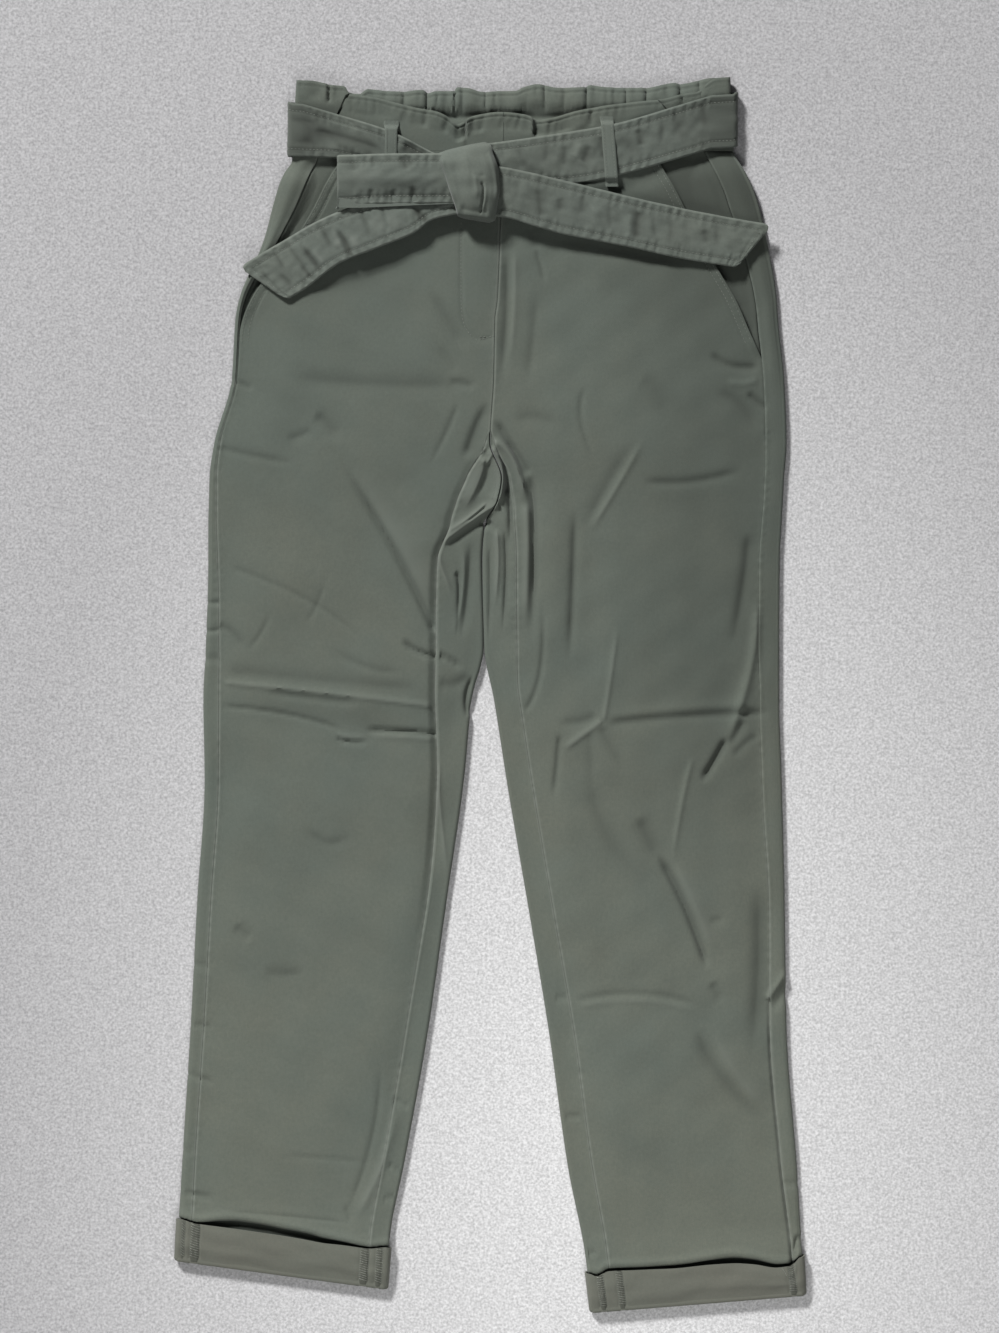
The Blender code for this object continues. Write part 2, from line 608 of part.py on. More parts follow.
def grid_object(name, points, collection, flip=False, ring=False, caps=False, short=None):
    """A mesh of quads through rows of points, in millimetres. ring joins each row's ends.

    short is (rows, columns): the first rows stop at that column.
    """
    rows, columns = points.shape[:2]
    reach = columns if ring else columns - 1
    faces = []
    for i in range(rows - 1):
        for j in range(short[1] - 1 if short and i < short[0] else reach):
            k = (j + 1) % columns
            quad = (i * columns + j, i * columns + k, (i + 1) * columns + k, (i + 1) * columns + j)
            faces.append(quad[::-1] if flip else quad)
    if caps:
        first = tuple(range(columns))
        last = tuple((rows - 1) * columns + j for j in range(columns))
        faces += [first if flip else first[::-1], last[::-1] if flip else last]
    mesh = bpy.data.meshes.new(name)
    mesh.from_pydata((points.reshape(-1, 3) * MM).tolist(), [], faces)
    if short:
        drop_loose(mesh)
    made = bpy.data.objects.new(name, mesh)
    collection.objects.link(made)
    return made


def cloth(name, points, wall, material, collection, flip=False, ring=False, short=None):
    """A cloth piece: its outer face, with the wall's thickness turned inwards."""
    made = grid_object(name, points, collection, flip, ring, short=short)
    made.data.materials.append(material)
    made.data.shade_smooth()
    thickness = made.modifiers.new("wall", "SOLIDIFY")
    thickness.thickness = wall * MM
    thickness.offset = -1
    thickness.use_even_offset = True
    return made


def cut_clear(target, cutter):
    """Cuts a belt stretch where it meets the knot, leaving the gap between two pieces."""
    cut = target.modifiers.new("knot clearance", "BOOLEAN")
    cut.operation = "DIFFERENCE"
    cut.object = cutter


def make_legs(twill, wrong_side, parts):
    for leg, name in ((Leg(RIGHT_LEG, -1), "right"), (Leg(LEFT_LEG, 1), "left")):
        left = leg.side > 0
        back, seat_end = leg.back()
        cloth(f"front_{name}", leg.front(pocket_mouth(leg, name)), WALL, twill, parts, flip=not left)
        cloth(f"back_{name}", back, WALL, twill, parts, flip=left, short=(CROTCH_ROW, seat_end))
        cloth(f"pocket_facing_{name}", pocket_facing(leg, name), WALL, twill, parts, flip=not left)
        cloth(f"cuff_{name}", cuff(leg), CUFF_WALL, wrong_side, parts, flip=not left, ring=True)


def make_band(twill, parts):
    cloth("waist_front_right", band_front(-1, 15), WALL, twill, parts)
    cloth("waist_front_left", band_front(1, 16), WALL, twill, parts)
    cloth("waist_back", band_back(), WALL, twill, parts, flip=True)


def make_belt(twill, parts, cutters):
    knot = grid_object("belt_knot", knot_points(), parts, caps=True, ring=True)
    knot.data.materials.append(twill)
    knot.data.shade_smooth()
    clearance = grid_object("knot_clearance", knot_points(2 * GAP), cutters, caps=True, ring=True)
    clearance.hide_render = True

    to_right, to_left = ({name: column[k] for name, column in RUN_FOLD.items()} for k in (0, 1))
    stretches = {
        "belt_run_right": (folded_strip(RIGHT_RUN, to_right, 0.0, 12), True),
        "belt_run_left": (folded_strip(LEFT_RUN, to_left, 0.0, 14), False),
        "belt_bow_loop": (bow(), True),
        "belt_tail_right": (ribbon(RIGHT_TAIL, 18), True),
        "belt_tail_left": (ribbon(LEFT_TAIL, 18), False),
    }
    for name, (points, flip) in stretches.items():
        cut_clear(cloth(name, points, BELT_WALL, twill, parts, flip=flip), clearance)
    cloth("belt_back", belt_back(), BELT_WALL, twill, parts, flip=True)


def make_belt_loops(twill, parts):
    for name, (run, upper, lower) in FRONT_LOOPS.items():
        cloth(f"belt_loop_{name}", front_loop(run, upper, lower), LOOP_WALL, twill, parts, flip=True)
    for name, x in BACK_LOOPS.items():
        cloth(f"belt_loop_back_{name}", back_loop(x), LOOP_WALL, twill, parts, flip=True)


def build():
    for old in list(bpy.data.objects):
        bpy.data.objects.remove(old)
    parts = new_collection("paperbag_trousers")
    cutters = new_collection("cutters")
    twill = new_material("twill", (0.118, 0.132, 0.110), 0.85)
    belt_twill = new_material("belt_twill", (0.112, 0.126, 0.106), 0.85)
    wrong_side = new_material("twill_wrong_side", (0.128, 0.134, 0.112), 0.9)
    make_legs(twill, wrong_side, parts)
    make_band(twill, parts)
    make_belt(belt_twill, parts, cutters)
    make_belt_loops(belt_twill, parts)


build()
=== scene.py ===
# %% [markdown]
# # Paperbag waist trousers, laid flat
# The object is a pair of trousers in a soft grey-green twill: two fronts and two backs, a
# gathered band round the waist, a sash tied in a bow over it, and hems turned up as cuffs.
# It lies on its back, so its shape is a stack of thin sheets, and nearly all that the eye
# sees is creases, seams and the light on them. Cloth of this kind could be draped by a
# simulation, but a simulation makes its own creases. Here each sheet is a grid of points
# whose heights are worked out, so that every crease is put where it belongs.

# %% The frame
import json

import bpy
import mathutils
import numpy as np
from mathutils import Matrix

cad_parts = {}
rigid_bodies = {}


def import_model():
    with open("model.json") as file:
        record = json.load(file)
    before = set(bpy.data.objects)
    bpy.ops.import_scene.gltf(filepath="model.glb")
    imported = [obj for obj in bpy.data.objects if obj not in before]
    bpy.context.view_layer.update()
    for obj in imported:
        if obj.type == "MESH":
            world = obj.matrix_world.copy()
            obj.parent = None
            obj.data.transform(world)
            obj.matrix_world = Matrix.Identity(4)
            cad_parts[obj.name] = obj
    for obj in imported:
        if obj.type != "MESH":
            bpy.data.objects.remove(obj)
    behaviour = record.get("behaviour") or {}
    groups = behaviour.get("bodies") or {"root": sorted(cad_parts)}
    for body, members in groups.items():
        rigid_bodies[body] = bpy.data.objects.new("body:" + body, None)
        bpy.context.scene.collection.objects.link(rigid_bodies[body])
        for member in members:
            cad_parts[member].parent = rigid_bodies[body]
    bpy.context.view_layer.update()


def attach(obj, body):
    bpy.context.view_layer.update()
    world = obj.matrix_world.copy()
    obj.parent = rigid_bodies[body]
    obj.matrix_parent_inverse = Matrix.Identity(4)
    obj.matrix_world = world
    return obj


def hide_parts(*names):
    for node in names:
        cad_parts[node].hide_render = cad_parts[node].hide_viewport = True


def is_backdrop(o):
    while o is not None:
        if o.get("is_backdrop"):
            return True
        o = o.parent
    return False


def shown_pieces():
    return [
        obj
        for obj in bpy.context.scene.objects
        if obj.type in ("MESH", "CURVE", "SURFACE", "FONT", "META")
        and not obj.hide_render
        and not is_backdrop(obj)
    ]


for startup in list(bpy.data.objects):
    bpy.data.objects.remove(startup)
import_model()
MM = 0.001

# %% [markdown]
# ## Sections
# A pattern cutter describes a trouser leg by sections: at this length below the waist seam,
# the fold at the side is here and the fold between the legs is there. The tables below do
# the same, in millimetres, with X towards the wearer's left, Y from hem to waist and Z up
# from the floor. A smooth curve is carried through each column.


# %% Tables and curves
def table(columns, *rows):
    """A table of sections: one array for each named column."""
    return {name: np.array(values, float) for name, values in zip(columns.split(), zip(*rows))}


def smooth(at, xs, ys):
    """A cubic from point to point of (xs, ys), with slopes that never let it swing past them."""
    step = np.diff(xs)
    slope = np.diff(ys) / step
    same = slope[:-1] * slope[1:] > 0
    total = np.where(same, slope[:-1] + slope[1:], 1.0)
    inner = np.where(same, 2 * slope[:-1] * slope[1:] / total, 0.0)
    tangent = np.concatenate([slope[:1], inner, slope[-1:]])
    i = np.clip(np.searchsorted(xs, at) - 1, 0, len(step) - 1)
    t = np.clip((at - xs[i]) / step[i], 0, 1)
    start = ys[i] * (2 * t**3 - 3 * t**2 + 1) + tangent[i] * step[i] * (t**3 - 2 * t**2 + t)
    return start + ys[i + 1] * (3 * t**2 - 2 * t**3) + tangent[i + 1] * step[i] * (t**3 - t**2)


def ease(t):
    """0 to 1, level at both ends: 3t^2 - 2t^3."""
    t = np.clip(t, 0, 1)
    return t * t * (3 - 2 * t)


def follow(sections, at, name):
    """One column of a table, as a smooth curve over its first column."""
    return smooth(at, next(iter(sections.values())), sections[name])


def rolled(off, radius):
    """How far a rounded edge has gone down: a quarter circle, 1 at the edge, 0 past its radius."""
    return 1 - np.sqrt(1 - (1 - np.clip(off / radius, 0, 1)) ** 2)


def run_along(line):
    """Length from the start of a line of points to each of them."""
    return np.concatenate([[0], np.cumsum(np.linalg.norm(np.diff(line, axis=0), axis=1))])


def bell(off, width):
    """1 where off is 0, falling to nothing past about twice the width: exp(-(off / width)^2)."""
    return np.exp(-((off / width) ** 2))


def ripples(x, y, seed, length, count=9):
    """Cloth never lies quite flat: sines of about one length in random directions, summed, rms 1."""
    rng = np.random.default_rng(seed)
    total = np.zeros(np.broadcast(x, y).shape)
    for _ in range(count):
        turn, phase = rng.uniform(0, 2 * np.pi, 2)
        wave = length * rng.uniform(0.6, 1.6)
        total += np.sin(2 * np.pi * (x * np.cos(turn) + y * np.sin(turn)) / wave + phase)
    return total / np.sqrt(0.5 * count)


def puckers(along, seed, pitch):
    """Puckers beside a row of stitches, -1 to 1: a sine whose pitch and strength both wander."""
    wander = ripples(along, 0 * along, seed, 5 * pitch, 5)
    strength = 0.55 + 0.45 * np.tanh(ripples(along, 0 * along, seed + 1, 4 * pitch, 5))
    return np.sin(2 * np.pi * along / pitch + 1.3 * wander) * strength


print("a curve through 0, 1, 0 at 0.25:", smooth(0.5, np.array([0, 1, 2.0]), np.array([0, 1, 0.0])))

# %% Leg sections
FOLD = 2.7                # outside radius of the folds at the sides
GAP = 0.3                 # between two pieces that meet at a seam
WAIST_Y = 442.0           # the seam between the legs and the band
CROTCH_DOWN = 236.0       # the crotch, measured down from that seam
HEM_DOWN = 913.0
CUFF_HEIGHT = 34.0
LEG = "down outer_x outer_y inner_x inner_y side_seam inseam loft"
RIGHT_LEG = table(
    LEG,
    (0, -160, 442, 11, 442, 22, 0, 5.4),
    (7, -161.2, 435, 10.5, 435, 21, 0, 5.4),
    (16, -167, 426, 10, 426, 22, 0, 5.6),
    (39, -175, 403, 9, 403, 20, 0, 6.0),
    (72, -184, 370, 8, 370, 12, 0, 6.2),
    (120, -204, 322, 6, 322, 5, 0, 6.2),
    (136, -207, 306, 4, 306, 4.5, 0, 6.2),
    (185, -210, 257, 3, 257, 4.5, 0, 6.2),
    (236, -224, 206, 0, 206, 5, 3.6, 6.2),
    (265, -228, 177, 9.5, 177, 6, 28.5, 6.2),
    (284, -228.5, 158, 6, 158, 6.5, 33, 6.2),
    (301, -229, 141, -4, 141, 7, 28, 6.2),
    (331, -229, 111, -6.5, 111, 8, 36, 6.2),
    (402, -231, 40, -5, 40, 11, 39, 6.2),
    (445, -233, -3, -14.5, -3, 13, 30, 6.2),
    (510, -232, -68, -21, -68, 11.5, 22, 6.2),
    (608, -238, -166, -35, -166, 11.5, 16, 6.2),
    (710, -243, -263, -50, -271, 11, 18, 6.2),
    (812, -249, -360, -69, -377, 10.5, 17, 6.2),
    (870, -252.5, -419, -81, -438, 11, 16, 6.0),
    (913, -254.5, -453.8, -84, -476.8, 12, 16, 5.4),
)
LEFT_LEG = table(
    LEG,
    (0, 198, 442, 11, 442, 24, 0, 5.4),
    (16, 207, 426, 10, 426, 25, 0, 5.6),
    (39, 217, 403, 9, 403, 25, 0, 6.0),
    (72, 225, 370, 8, 370, 22, 0, 6.2),
    (120, 233, 322, 6, 322, 18, 0, 6.2),
    (136, 234, 306, 4, 306, 17, 0, 6.2),
    (185, 239, 257, 3, 257, 17, 0, 6.2),
    (236, 241, 206, 0, 206, 17.5, 3.6, 6.2),
    (265, 239, 177, 9.5, 177, 16, 6.5, 6.2),
    (284, 238, 158, 6, 158, 16, 13, 6.2),
    (301, 237, 141, -4, 141, 16.5, 24, 6.2),
    (331, 235.5, 111, -6.5, 111, 17, 28, 6.2),
    (402, 235, 40, -5, 40, 17, 27, 6.2),
    (445, 235, -3, 3, -3, 16, 21, 6.2),
    (510, 237, -68, 14, -73, 16, 20.5, 6.2),
    (608, 239.5, -170, 32, -178, 13, 20, 6.2),
    (710, 241, -271, 48, -275, 14, 20.5, 6.2),
    (812, 249, -378, 63, -382, 13, 20, 6.2),
    (870, 253, -444, 77, -453, 9, 18, 6.0),
    (913, 255, -481.8, 82, -495.8, 8, 17, 5.4),
)
LEGS = ("right", RIGHT_LEG, -1), ("left", LEFT_LEG, 1)     # name, sections, side
PANEL_WALL = 0.9          # the twill with its seam allowances
POCKET = table(
    "down right left",    # how far in from the side seam the slanted mouth lies
    (0, 20, 42), (30, 16, 39), (62, 14, 33), (95, 10, 25),
    (120, 5, 16), (150, 0, 6), (168, 0, 0),
)
BELT_LIFT = 3.6           # the waist lies on the belt that passes behind it
CUFF_INSET = 2.0          # the leg inside a cuff lies this far in from its face
CUFF_TURN = 4.6           # how far the turned hem reaches up inside
CUFF_EDGE = {             # across the front from its right end: how far the free edge rises, and the gap
    "right": table("share sag gap",
        (0, 1.0, 0.8), (0.08, -1.2, 1.6), (0.19, -1.0, 5.4), (0.28, -0.9, 7.0),
        (0.38, -1.0, 7.2), (0.5, -1.4, 6.2), (0.6, -1.9, 6.0), (0.7, -2.8, 4.4),
        (0.8, -2.4, 3.0), (0.9, -2.6, 1.8), (1, 0.4, 1.2),
    ),
    "left": table("share sag gap",
        (0, -2.0, 0.8), (0.03, -4.2, 1.6), (0.09, -0.9, 2.6), (0.27, -2.0, 2.4),
        (0.43, -2.7, 2.8), (0.57, -2.2, 4.2), (0.68, -2.6, 5.4), (0.78, -4.6, 4.6),
        (0.9, -9.0, 3.2), (0.955, -8.6, 2.6), (1, -2.5, 1.2),
    ),
}
print("sections:", len(RIGHT_LEG["down"]), "right,", len(LEFT_LEG["down"]), "left")

# %% [markdown]
# ## Creases
# On the real cloth a crease is a narrow trough, or a ridge, that begins somewhere, bends a
# little and fades out, often with a soft swelling beside it. A noise texture gives none of
# that. Each crease is therefore a row of a table: three points that it runs through, a width
# on each side, a height (under 0 for a trough) and how quickly it fades at its two ends.
# Ridges that stop dead at a seam have a short fade there.

# %% The large soft folds
FOLDS = (
    # x0, y0, x1, y1, width, rise
    (-126, 195, -50, 56, 15, -3.2),    # across the right thigh to the inner knee
    (-222, 10, -46, -8, 11, 2.8),      # right knee, the long ridge
    (-215, -14, -46, -33, 11, -2.4),   # and the trough below it
    (-68, 178, -46, 108, 15, 2.8),     # roll of the right inner thigh
    (-62, -30, -64, -200, 12, 2.0),    # it runs on down beside the inseam
    (34, 190, 40, 22, 12, -3.0),       # left inner thigh, the deep fold
    (54, 176, 50, 0, 12, 2.6),         # and its roll
    (78, 150, 74, 6, 13, -1.8),
    (106, 66, 88, -26, 14, 2.4),       # left knee
    (92, -22, 230, -12, 12, -2.2),
    (206, 50, 168, -74, 14, -3.0),
    (190, 76, 216, -10, 12, 2.6),
    (128, -112, 182, -230, 15, -3.0),  # left shin, the long slant
    (160, -258, 216, -356, 16, -2.0),
    (-6, 380, -8, 290, 14, 1.8),       # fly
    (30, 380, 22, 266, 13, 2.0),       # pleat let out below the waist
)
FOLD_SHARE = 0.4          # the creases below carry the rest of each fold


def fold_relief(x, y):
    """Height of the large folds: across each line a bell, along it eased over 0.3 of its length."""
    height = np.zeros(x.shape)
    for x0, y0, x1, y1, width, rise in FOLDS:
        length = np.hypot(x1 - x0, y1 - y0)
        east, north = (x1 - x0) / length, (y1 - y0) / length
        run = (x - x0) * east + (y - y0) * north
        off = (x - x0) * north - (y - y0) * east
        ends = ease(run / (0.3 * length)) * ease((length - run) / (0.3 * length))
        height += FOLD_SHARE * rise * ends * bell(off, width)
    return height


# %% The creases of the legs
def read_creases(text):
    """Creases from rows of text. A row without its two fades has 0.3. What follows a # is a note."""
    rows = [line.split("#")[0].split() for line in text.splitlines()]
    return [tuple(map(float, (row + ["0.3", "0.3"])[:11])) for row in rows if row]


LEG_CREASES = read_creases("""
# x0 y0 x1 y1 x2 y2, widths left and right of its run, rise, shares that fade in and out
# shaded hollows below the sash
-172 318 -114 336 -52 356  13 11  -2.0
20 376 104 362 166 349  8 8  -1.6
32 385 35 372 37 360  5 5  -1.2
# right thigh and knee
-124.2 194.1 -81.2 124.2 -44.7 51.2  2.4 2.8  -2.8  0.35 0.04  # the long slant across the thigh
-117.7 195.7 -73.1 124.2 -43.8 68.2  8 8  1  # the cloth beside it, lifted
-215.2 106.4 -143.7 75.5 -99.9 41.4  1.8 1.8  -0.7  0.1 0.3  # pressed line
-131.5 102.3 -139.7 75.5 -151.8 56  2 2  -0.5  0.4 0.4
-178.6 69.8 -185.1 52 -198.9 34.9  2 2  -0.6  0.4 0.3
-220.1 56 -208.7 50.3 -198.1 34.9  3.5 3  -1  0.1 0.3
-217.6 11.4 -129.9 2.4 -45.5 -8.1  1.8 1.8  1.3  0.04 0.04  # the sharp ridge over the knee
-217.6 20.3 -129.9 11.4 -48.7 4.1  6 6  -1.2  0.1 0.2  # the hollow above it
-185.1 3.2 -144.5 -1.6 -103.1 -6.5  3.2 3.2  -1.2  0.2 0.2  # and below it
-219.2 -8.1 -162.4 -15.4 -117.7 -28.4  1.7 1.7  -1.3  0.1 0.2
-125.9 -33.3 -113.7 -37.4 -96.6 -36.5  1.6 1.6  -1.5  0.2 0.3
-125.9 -30 -113.7 -33.3 -96.6 -33.3  1.6 1.6  0.9
-103.1 -27.6 -73.1 -28.4 -43 -30.9  1.9 1.9  -2.3  0.2 0.03  # the deep one that runs into the tuck
-100.7 -31.7 -73.1 -32.5 -43.8 -34.9  2.5 2.5  0.8  0.3 0.1
-71.5 47.1 -60.9 37.4 -43 31.7  2.2 2.2  -2.2  0.35 0.04
-132.4 39.8 -97.4 22.7 -69 20.3  3 3  -0.9
-220.9 202.2 -189.2 194.1 -155.9 188.4  2.6 2.6  -0.9  0.1 0.3
-142.9 228.2 -132.4 220.9 -120.2 205.4  5 5  -1.4
-166.5 207.1 -154.3 211.1 -142.1 216  4 4  -0.9
-166.5 259 -89.3 252.5 -12.2 252.5  7 7  -1.2  0.2 0.3  # across the thigh under the belt
-34.1 255.8 -21.9 253.3 -10.6 251.7  3 3  -1.2
-50.3 333.7 -34.1 305.3 -17.9 279.3  4 4  -1.1
-42.2 285 -34.1 272.8 -26 261.5  3 3  -0.6
-26 237.9 -34.9 214.4 -50.3 185.1  2.4 2.4  -0.9  0.2 0.4
-0.8 240.4 -12.2 216 -20.3 191.6  6 3  -2.2  0.3 0.2  # beside the crotch
-209.5 256.6 -200.6 252.5 -191.6 249.3  2.4 2.4  -1  0.1 0.3
# right shin
-207.1 -185.9 -200.6 -191.6 -192.4 -197.3  5 5  -1
-185.1 -223.3 -166.5 -225.7 -147.8 -223.3  5 5  -0.9
-151.8 -103.1 -131.5 -119.4 -111.2 -110.4  4 4  -0.8
-174.6 -372.7 -134 -375.1 -92.6 -379.2  2 2  -0.5
-217.6 -418.2 -166.5 -422.2 -112.1 -427.9  1.6 1.6  -0.6  0.2 0.2  # where the hem was folded before
-74.7 -328 -86.1 -376.8 -111.2 -427.1  4 4  1.2  0.3 0.2
-89.3 -295.6 -95 -356.5 -116.9 -422.2  2.4 2.4  -0.9  0.3 0.2
-117.7 -412.5 -115.3 -420.6 -113.7 -429.5  2 2  -0.8
-79.6 -328 -73.1 -330.5 -65 -333.7  1.8 1.8  -1.1  0.2 0.2
-83.6 -379.2 -76.3 -384.9 -69 -390.6  1.8 1.8  -1.3  0.2 0.1
-87.7 -409.2 -80.4 -407.6 -73.1 -406.8  1.7 1.7  -1.3  0.2 0.1
-240.4 -217.6 -233 -219.2 -225.7 -219.2  2.4 2.4  -0.9  0.2 0.3
-242 -267.1 -233 -268 -224.1 -268.8  1.6 1.6  -1.1  0.2 0.3
-246.8 -306.9 -235.5 -310.2 -221.7 -314.2  1.8 1.8  -1.1  0.2 0.3
-251.7 -370.3 -246 -369.5 -240.4 -370.3  2 2  -0.8  0.2 0.3
-250.1 -402.8 -237.1 -405.2 -221.7 -407.6  2 2  -1.3  0.2 0.3
-231.4 75.5 -224.9 75.5 -218.4 75.5  2 2  -1  0.2 0.2
-231.4 52.8 -224.9 52.8 -218.4 54.4  2 2  -1.1  0.2 0.2
-233 30 -225.7 30 -217.6 30.9  2.4 2.4  -1.1  0.2 0.2
# left thigh and knee
2.4 206.2 18.7 192 29.2 157.5  2.6 2.6  2.4  0.1 0.2  # the roll over the crotch
29.2 157.5 30.5 118 28.4 45.5  3.2 3.2  2.0  0.15 0.35  # it runs on down
12.2 207.1 23.5 190 33.3 155  1.6 1.8  -1.6  0.2 0.2
31.7 181.9 35.7 130.7 33.3 45.5  2.6 3.2  -3.4  0.2 0.25  # the deep fold beside the inseam
4.1 224.1 17.9 202.2 32.5 178.6  2.6 2.6  -2.4  0.2 0.1  # it starts at the crotch
41.4 79.6 41.4 22.7 27.6 -13  1.7 1.7  -1.4  0.3 0.1
69 155.1 67.4 90.1 64.1 23.5  3 3  -2  0.25 0.3
125.9 210.3 103.1 170.5 79.6 131.5  2.2 2.2  1.2  0.25 0.25
116.9 207.9 94.2 168.9 75.5 134.8  5 5  -0.9
79.6 254.2 73.9 224.1 89.3 183.5  2 2  -0.9
121.8 174.6 162.4 173.8 207.1 184.3  3.4 3.4  -1.4  0.2 0.2
209.5 132.4 206.2 94.2 195.7 35.7  5 4  -1.9  0.2 0.3
214.4 79.6 212.7 27.6 191.6 -39  3.6 4.2  2.3  0.25 0.2  # the roll that slants in from the side
192.4 -33.3 181.1 -53.6 170.5 -70.6  2.6 2.6  -3.2  0.15 0.3  # and the pocket under it
165.6 -46.3 155.9 -84.4 147 -140.5  2.2 2.2  1.1  0.25 0.3
92.6 -22.7 162.4 -16.2 230.6 -13.8  3.2 3.2  -1.7  0.1 0.15  # across the knee
92.6 -17.1 162.4 -9.7 227.4 -7.3  6 6  0.8  0.2 0.2
103.1 58.5 98.3 19.5 91.8 -21.1  1.8 1.8  1.2  0.3 0.05  # three ridges that meet over the knee
90.9 -19.5 74.7 -31.7 58.5 -43.8  2 2  1.5  0.05 0.25
55.2 -21.1 73.1 -21.1 87.7 -14.6  4 4  -1.3  0.3 0.2
90.1 -25.2 99.9 -43.8 112.9 -65.8  4 4  -1.1  0.1 0.4
81.2 -26 82 -52 83.6 -78  4 4  -0.7  0.2 0.4
56.8 -30 54.4 -56 51.2 -86.1  2 2  -1.7  0.15 0.3
206.2 -18.7 201.4 -29.2 194.1 -39.8  3 3  -1.4  0.2 0.2
218.4 -32.5 207.9 -38.2 196.5 -50.3  3 3  -1.2  0.2 0.2
179.5 280.1 193.3 268.8 218.4 267.1  3 3  -1.7  0.25 0.1  # under the pocket
192.4 257.4 203 253.3 218.4 257.4  2.4 2.4  0.9  0.3 0.1
208.7 246.8 216.8 239.5 224.9 233  2.3 2.3  -1.8  0.25 0.1
181.1 246.8 203 236.3 218.4 210.3  5 5  -1.3
13 362.2 13.8 309.4 8.1 248.5  3.5 3.5  -2  0.2 0.3  # beside the fly
19.5 364.6 19.5 317.5 14.6 263.1  3 3  1.2  0.2 0.3
36.5 364.6 41.4 349.2 44.7 333.7  1.8 1.8  -0.9  0.2 0.3
38.2 329.7 34.9 289.1 29.2 246.8  4 4  -0.9
-23.5 385 -23.6 352 -23.4 318  1.3 1.3  -0.55  0.05 0.02  # the fly's stitching draws in
-23.4 318 -19.5 299.5 -9 289  1.3 1.3  -0.55  0.02 0.02
-9 289 -3 289.9 3 292.5  1.3 1.3  -0.55  0.02 0.1
17.1 220.9 36.5 225.7 57.7 216.8  6 6  -1
121.8 258.2 134.8 246.8 145.3 218.4  8 8  -0.9
# left shin
134.8 -126.7 157.5 -169.7 177 -221.7  2.5 2.5  -3.2  0.2 0.12  # the long slant down the shin
144.5 -125 165.6 -168.1 183.5 -212.7  5 5  1.1
120.2 -97.4 128.3 -113.7 139.7 -136.4  6 6  -1.7
82 -58.5 94.2 -110.4 133.2 -160.8  7 7  -1.3  0.3 0.4
67.4 -247.7 121.8 -241.2 173.8 -252.5  2.6 2.6  -0.8  0.1 0.2
69.8 -251.7 121.8 -246.8 170.5 -256.6  2.2 2.2  0.5  0.1 0.2
177.8 -185.1 183.5 -181.9 190.8 -182.7  3 3  -0.7
179.5 -232.2 183.5 -238.7 189.2 -250.9  4 4  -1.1
168.1 -268 187.6 -307.7 233.9 -357.3  5 5  -1.6  0.25 0.3
180.3 -268 201.4 -308.6 229 -337.8  5 5  0.8
216 -149.4 218.4 -218.4 210.3 -307.7  9 6  -2.2  0.3 0.35  # the wide hollow beside the side seam
240.4 -223.3 231.4 -237.1 224.1 -246  2.4 2.4  2  0.1 0.1  # the side fold twists over
243.6 -233.9 237.1 -243.6 228.2 -255  4 4  -1.6  0.1 0.2
250.1 -436 246.8 -450.7 244.4 -466.1  2 2  -2.3  0.2 0.1
237.1 -395.4 244.4 -396.3 253.3 -393.8  1.9 1.9  -1.1  0.2 0.2
52.8 -244.4 57.7 -245.2 63.3 -243.6  2 2  -1  0.2 0.2
60.1 -341.9 67.4 -341.9 75.5 -340.2  1.7 1.7  -1.1  0.2 0.2
76.3 -451.5 81.2 -452.3 86.9 -450.7  3 3  -0.9  0.2 0.2
""")
